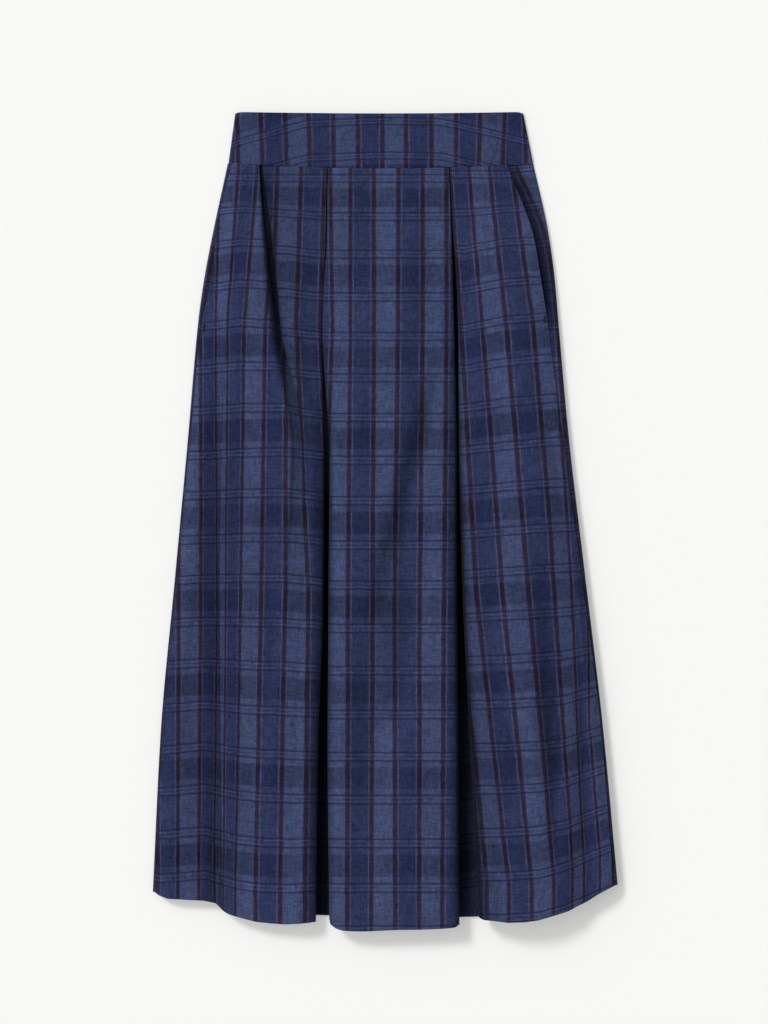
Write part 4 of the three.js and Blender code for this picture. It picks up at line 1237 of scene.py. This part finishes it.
def makeTeeth(material):
    verts, faces = [], []
    pitch, radius = zipLook["toothPitch"], zipLook["toothRadius"]
    count = int((zipLook["topY"] - zipLook["teethBelowTop"] - zipLook["bottomY"]) / pitch)
    for k in range(count):
        height = zipLook["bottomY"] + zipLook["teethAboveFoot"] + k * pitch
        z = zipZ(height) + zipLook["tapeThick"] + radius
        for sign in (-1, 1):
            y = height if sign < 0 else height + pitch / 2
            outer = (sign * zipLook["toothWidth"], y, z)
            inner = (-sign * zipLook["toothOver"], y, z)
            threadBar(verts, faces, outer, inner, radius, zipLook["toothSides"], zipLook["toothRings"])
    return meshPiece("zip_teeth", verts, faces, material)


# Plain finishes: pocket cloth, thread, tape and the slider's lacquered metal
pocketLook = {
    "dark": screenColor(38, 45, 72), "light": screenColor(52, 60, 92), "broad": screenColor(44, 50, 78),
    "broadCover": 0.4, "warpTurn": 130, "weftTurn": 215, "weaveHeight": 0.4, "fineHeight": 0.6,
    "weaveDepth": 0.00015, "roughness": 0.88, "specular": 0.15, "sheen": 0.1,
}
threadLook = {"grain": 2600.0, "lighter": 1.7, "depth": 0.00008, "roughness": 0.7, "specular": 0.25}
metalLook = {
    "dark": screenColor(38, 45, 72), "light": screenColor(52, 60, 92), "grain": 900.0, "depth": 0.00003,
    "wear": 260.0, "wearRoughness": 0.3, "roughness": 0.28, "specular": 0.5, "metallic": 0.6,
    "edgeWidth": 0.00018, "edgeSegments": 2,
}


def mixPocketCloth():
    look = pocketLook
    paint = Paint("pocketCloth")
    u, v = paint.clothPlace("cloth")
    fine = clothNoiseAt(paint, "pocketFine", u, v)
    broad = clothNoiseAt(paint, "pocketBroad", u, v)
    color = paint.mix(fine, look["dark"], look["light"])
    color = paint.mix(broad * look["broadCover"], color, look["broad"])
    weave = (u * look["warpTurn"]).sine() * (v * look["weftTurn"]).sine()
    normal = paint.bump(weave * look["weaveHeight"] + fine * look["fineHeight"], look["weaveDepth"])
    paint.surface(color, look["roughness"], specular=look["specular"], sheen=look["sheen"], normal=normal)
    return paint.material


def mixThread(name, color):
    look = threadLook
    paint = Paint(name)
    place = paint.node("ShaderNodeTexCoord", output=3)
    fuzz = paint.node("ShaderNodeTexNoise", Vector=place, Scale=look["grain"], Detail=2.0)
    lighter = tuple(part * look["lighter"] for part in color)
    normal = paint.bump(fuzz, look["depth"])
    color = paint.mix(fuzz, color, lighter)
    paint.surface(color, look["roughness"], specular=look["specular"], normal=normal)
    return paint.material


def mixZipMetal():
    look = metalLook
    paint = Paint("zipMetal")
    place = paint.node("ShaderNodeTexCoord", output=3)
    grain = paint.node("ShaderNodeTexNoise", Vector=place, Scale=look["grain"], Detail=3.0)
    color = paint.mix(grain, look["dark"], look["light"])
    worn = paint.node("ShaderNodeTexNoise", Vector=place, Scale=look["wear"], Detail=4.0)
    roughness = worn * look["wearRoughness"] + look["roughness"]
    normal = paint.bump(grain, look["depth"])
    paint.surface(color, roughness, specular=look["specular"], metallic=look["metallic"], normal=normal)
    return paint.material


def finishMetal(node, material):
    # The slider and the tab keep their solids, with softened edges
    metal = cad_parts[node]
    metal.data.materials.clear()
    metal.data.materials.append(material)
    metal.data.shade_smooth()
    edge = metal.modifiers.new("softEdges", "BEVEL")
    edge.width = metalLook["edgeWidth"]
    edge.segments = metalLook["edgeSegments"]
    edge.limit_method = "ANGLE"


placeCamera()
layStudio()
plaidLinen = mixPlaid("plaidLinen", plaidLook)
bandLinen = mixPlaid("bandLinen", {**plaidLook, **bandTones})
pocketCloth = mixPocketCloth()
threadNavy = mixThread("threadNavy", tackLook["color"])
tapeNavy = mixThread("zipTape", zipLook["tapeColor"])
toothNavy = mixThread("zipTooth", zipLook["toothColor"])
zipMetal = mixZipMetal()

frontCloth = cutFront(plaidLinen)
backLeft = cutBack(leftWrap, plaidLinen)
backRight = cutBack(rightWrap, plaidLinen)
bandFront = cutBandFront(bandLinen)
bandBackLeft = cutBandBack("band_cloth_back_left", band["leftSide"], band["leftSeam"], -1, bandLinen)
bandBackRight = cutBandBack("band_cloth_back_right", band["rightSide"], band["rightSeam"], 1, bandLinen)
pocketLeft = cutPocket("pocket_cloth_left", leftWrap, pocketBag["leftFold"], pocketCloth)
pocketRight = cutPocket("pocket_cloth_right", rightWrap, pocketBag["rightFold"], pocketCloth)
bpy.context.view_layer.update()
tackRight = sewTack("pocket_tack_right", frontCloth, tackLook["right"], threadNavy)
tackLeft = sewTack("pocket_tack_left", frontCloth, tackLook["left"], threadNavy)
tapeLeft = makeTape("zip_tape_left", -1, tapeNavy)
tapeRight = makeTape("zip_tape_right", 1, tapeNavy)
teeth = makeTeeth(toothNavy)
for node in ("zip_slider", "zip_pull_tab"):
    finishMetal(node, zipMetal)
print("pieces cut and sewn")

# What each piece stands for, its finish and its cut: width and length in metres, and area
sewn = [
    (frontCloth, "front_panel", "plaid_linen", (0.80, 0.95), 0.66, ["back_cloth_left", "back_cloth_right"]),
    (backLeft, "back_panel_left", "plaid_linen", (0.30, 0.94), 0.235, ["floor"]),
    (backRight, "back_panel_right", "plaid_linen", (0.30, 0.94), 0.235, ["floor"]),
    (bandFront, "waistband_front", "band_linen", (0.345, 0.07), 0.0223, ["band_cloth_back_left"]),
    (bandBackLeft, "waistband_back_left", "band_linen", (0.21, 0.07), 0.0127, ["floor"]),
    (bandBackRight, "waistband_back_right", "band_linen", (0.22, 0.07), 0.0135, ["floor"]),
    (pocketLeft, "pocket_left", "pocket_cloth", (0.10, 0.19), 0.012, ["back_cloth_left"]),
    (pocketRight, "pocket_right", "pocket_cloth", (0.15, 0.19), 0.0214, ["back_cloth_right"]),
]
for piece, node, finish, flat, area, under in sewn:
    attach(piece, "skirt")
    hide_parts(node)
notions = [
    (tackRight, "plaid_linen"), (tackLeft, "plaid_linen"),
    (tapeLeft, "pocket_cloth"), (tapeRight, "pocket_cloth"), (teeth, "zip_metal"),
]
for piece, finish in notions:
    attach(piece, "skirt")
print("pieces ride on the skirt")
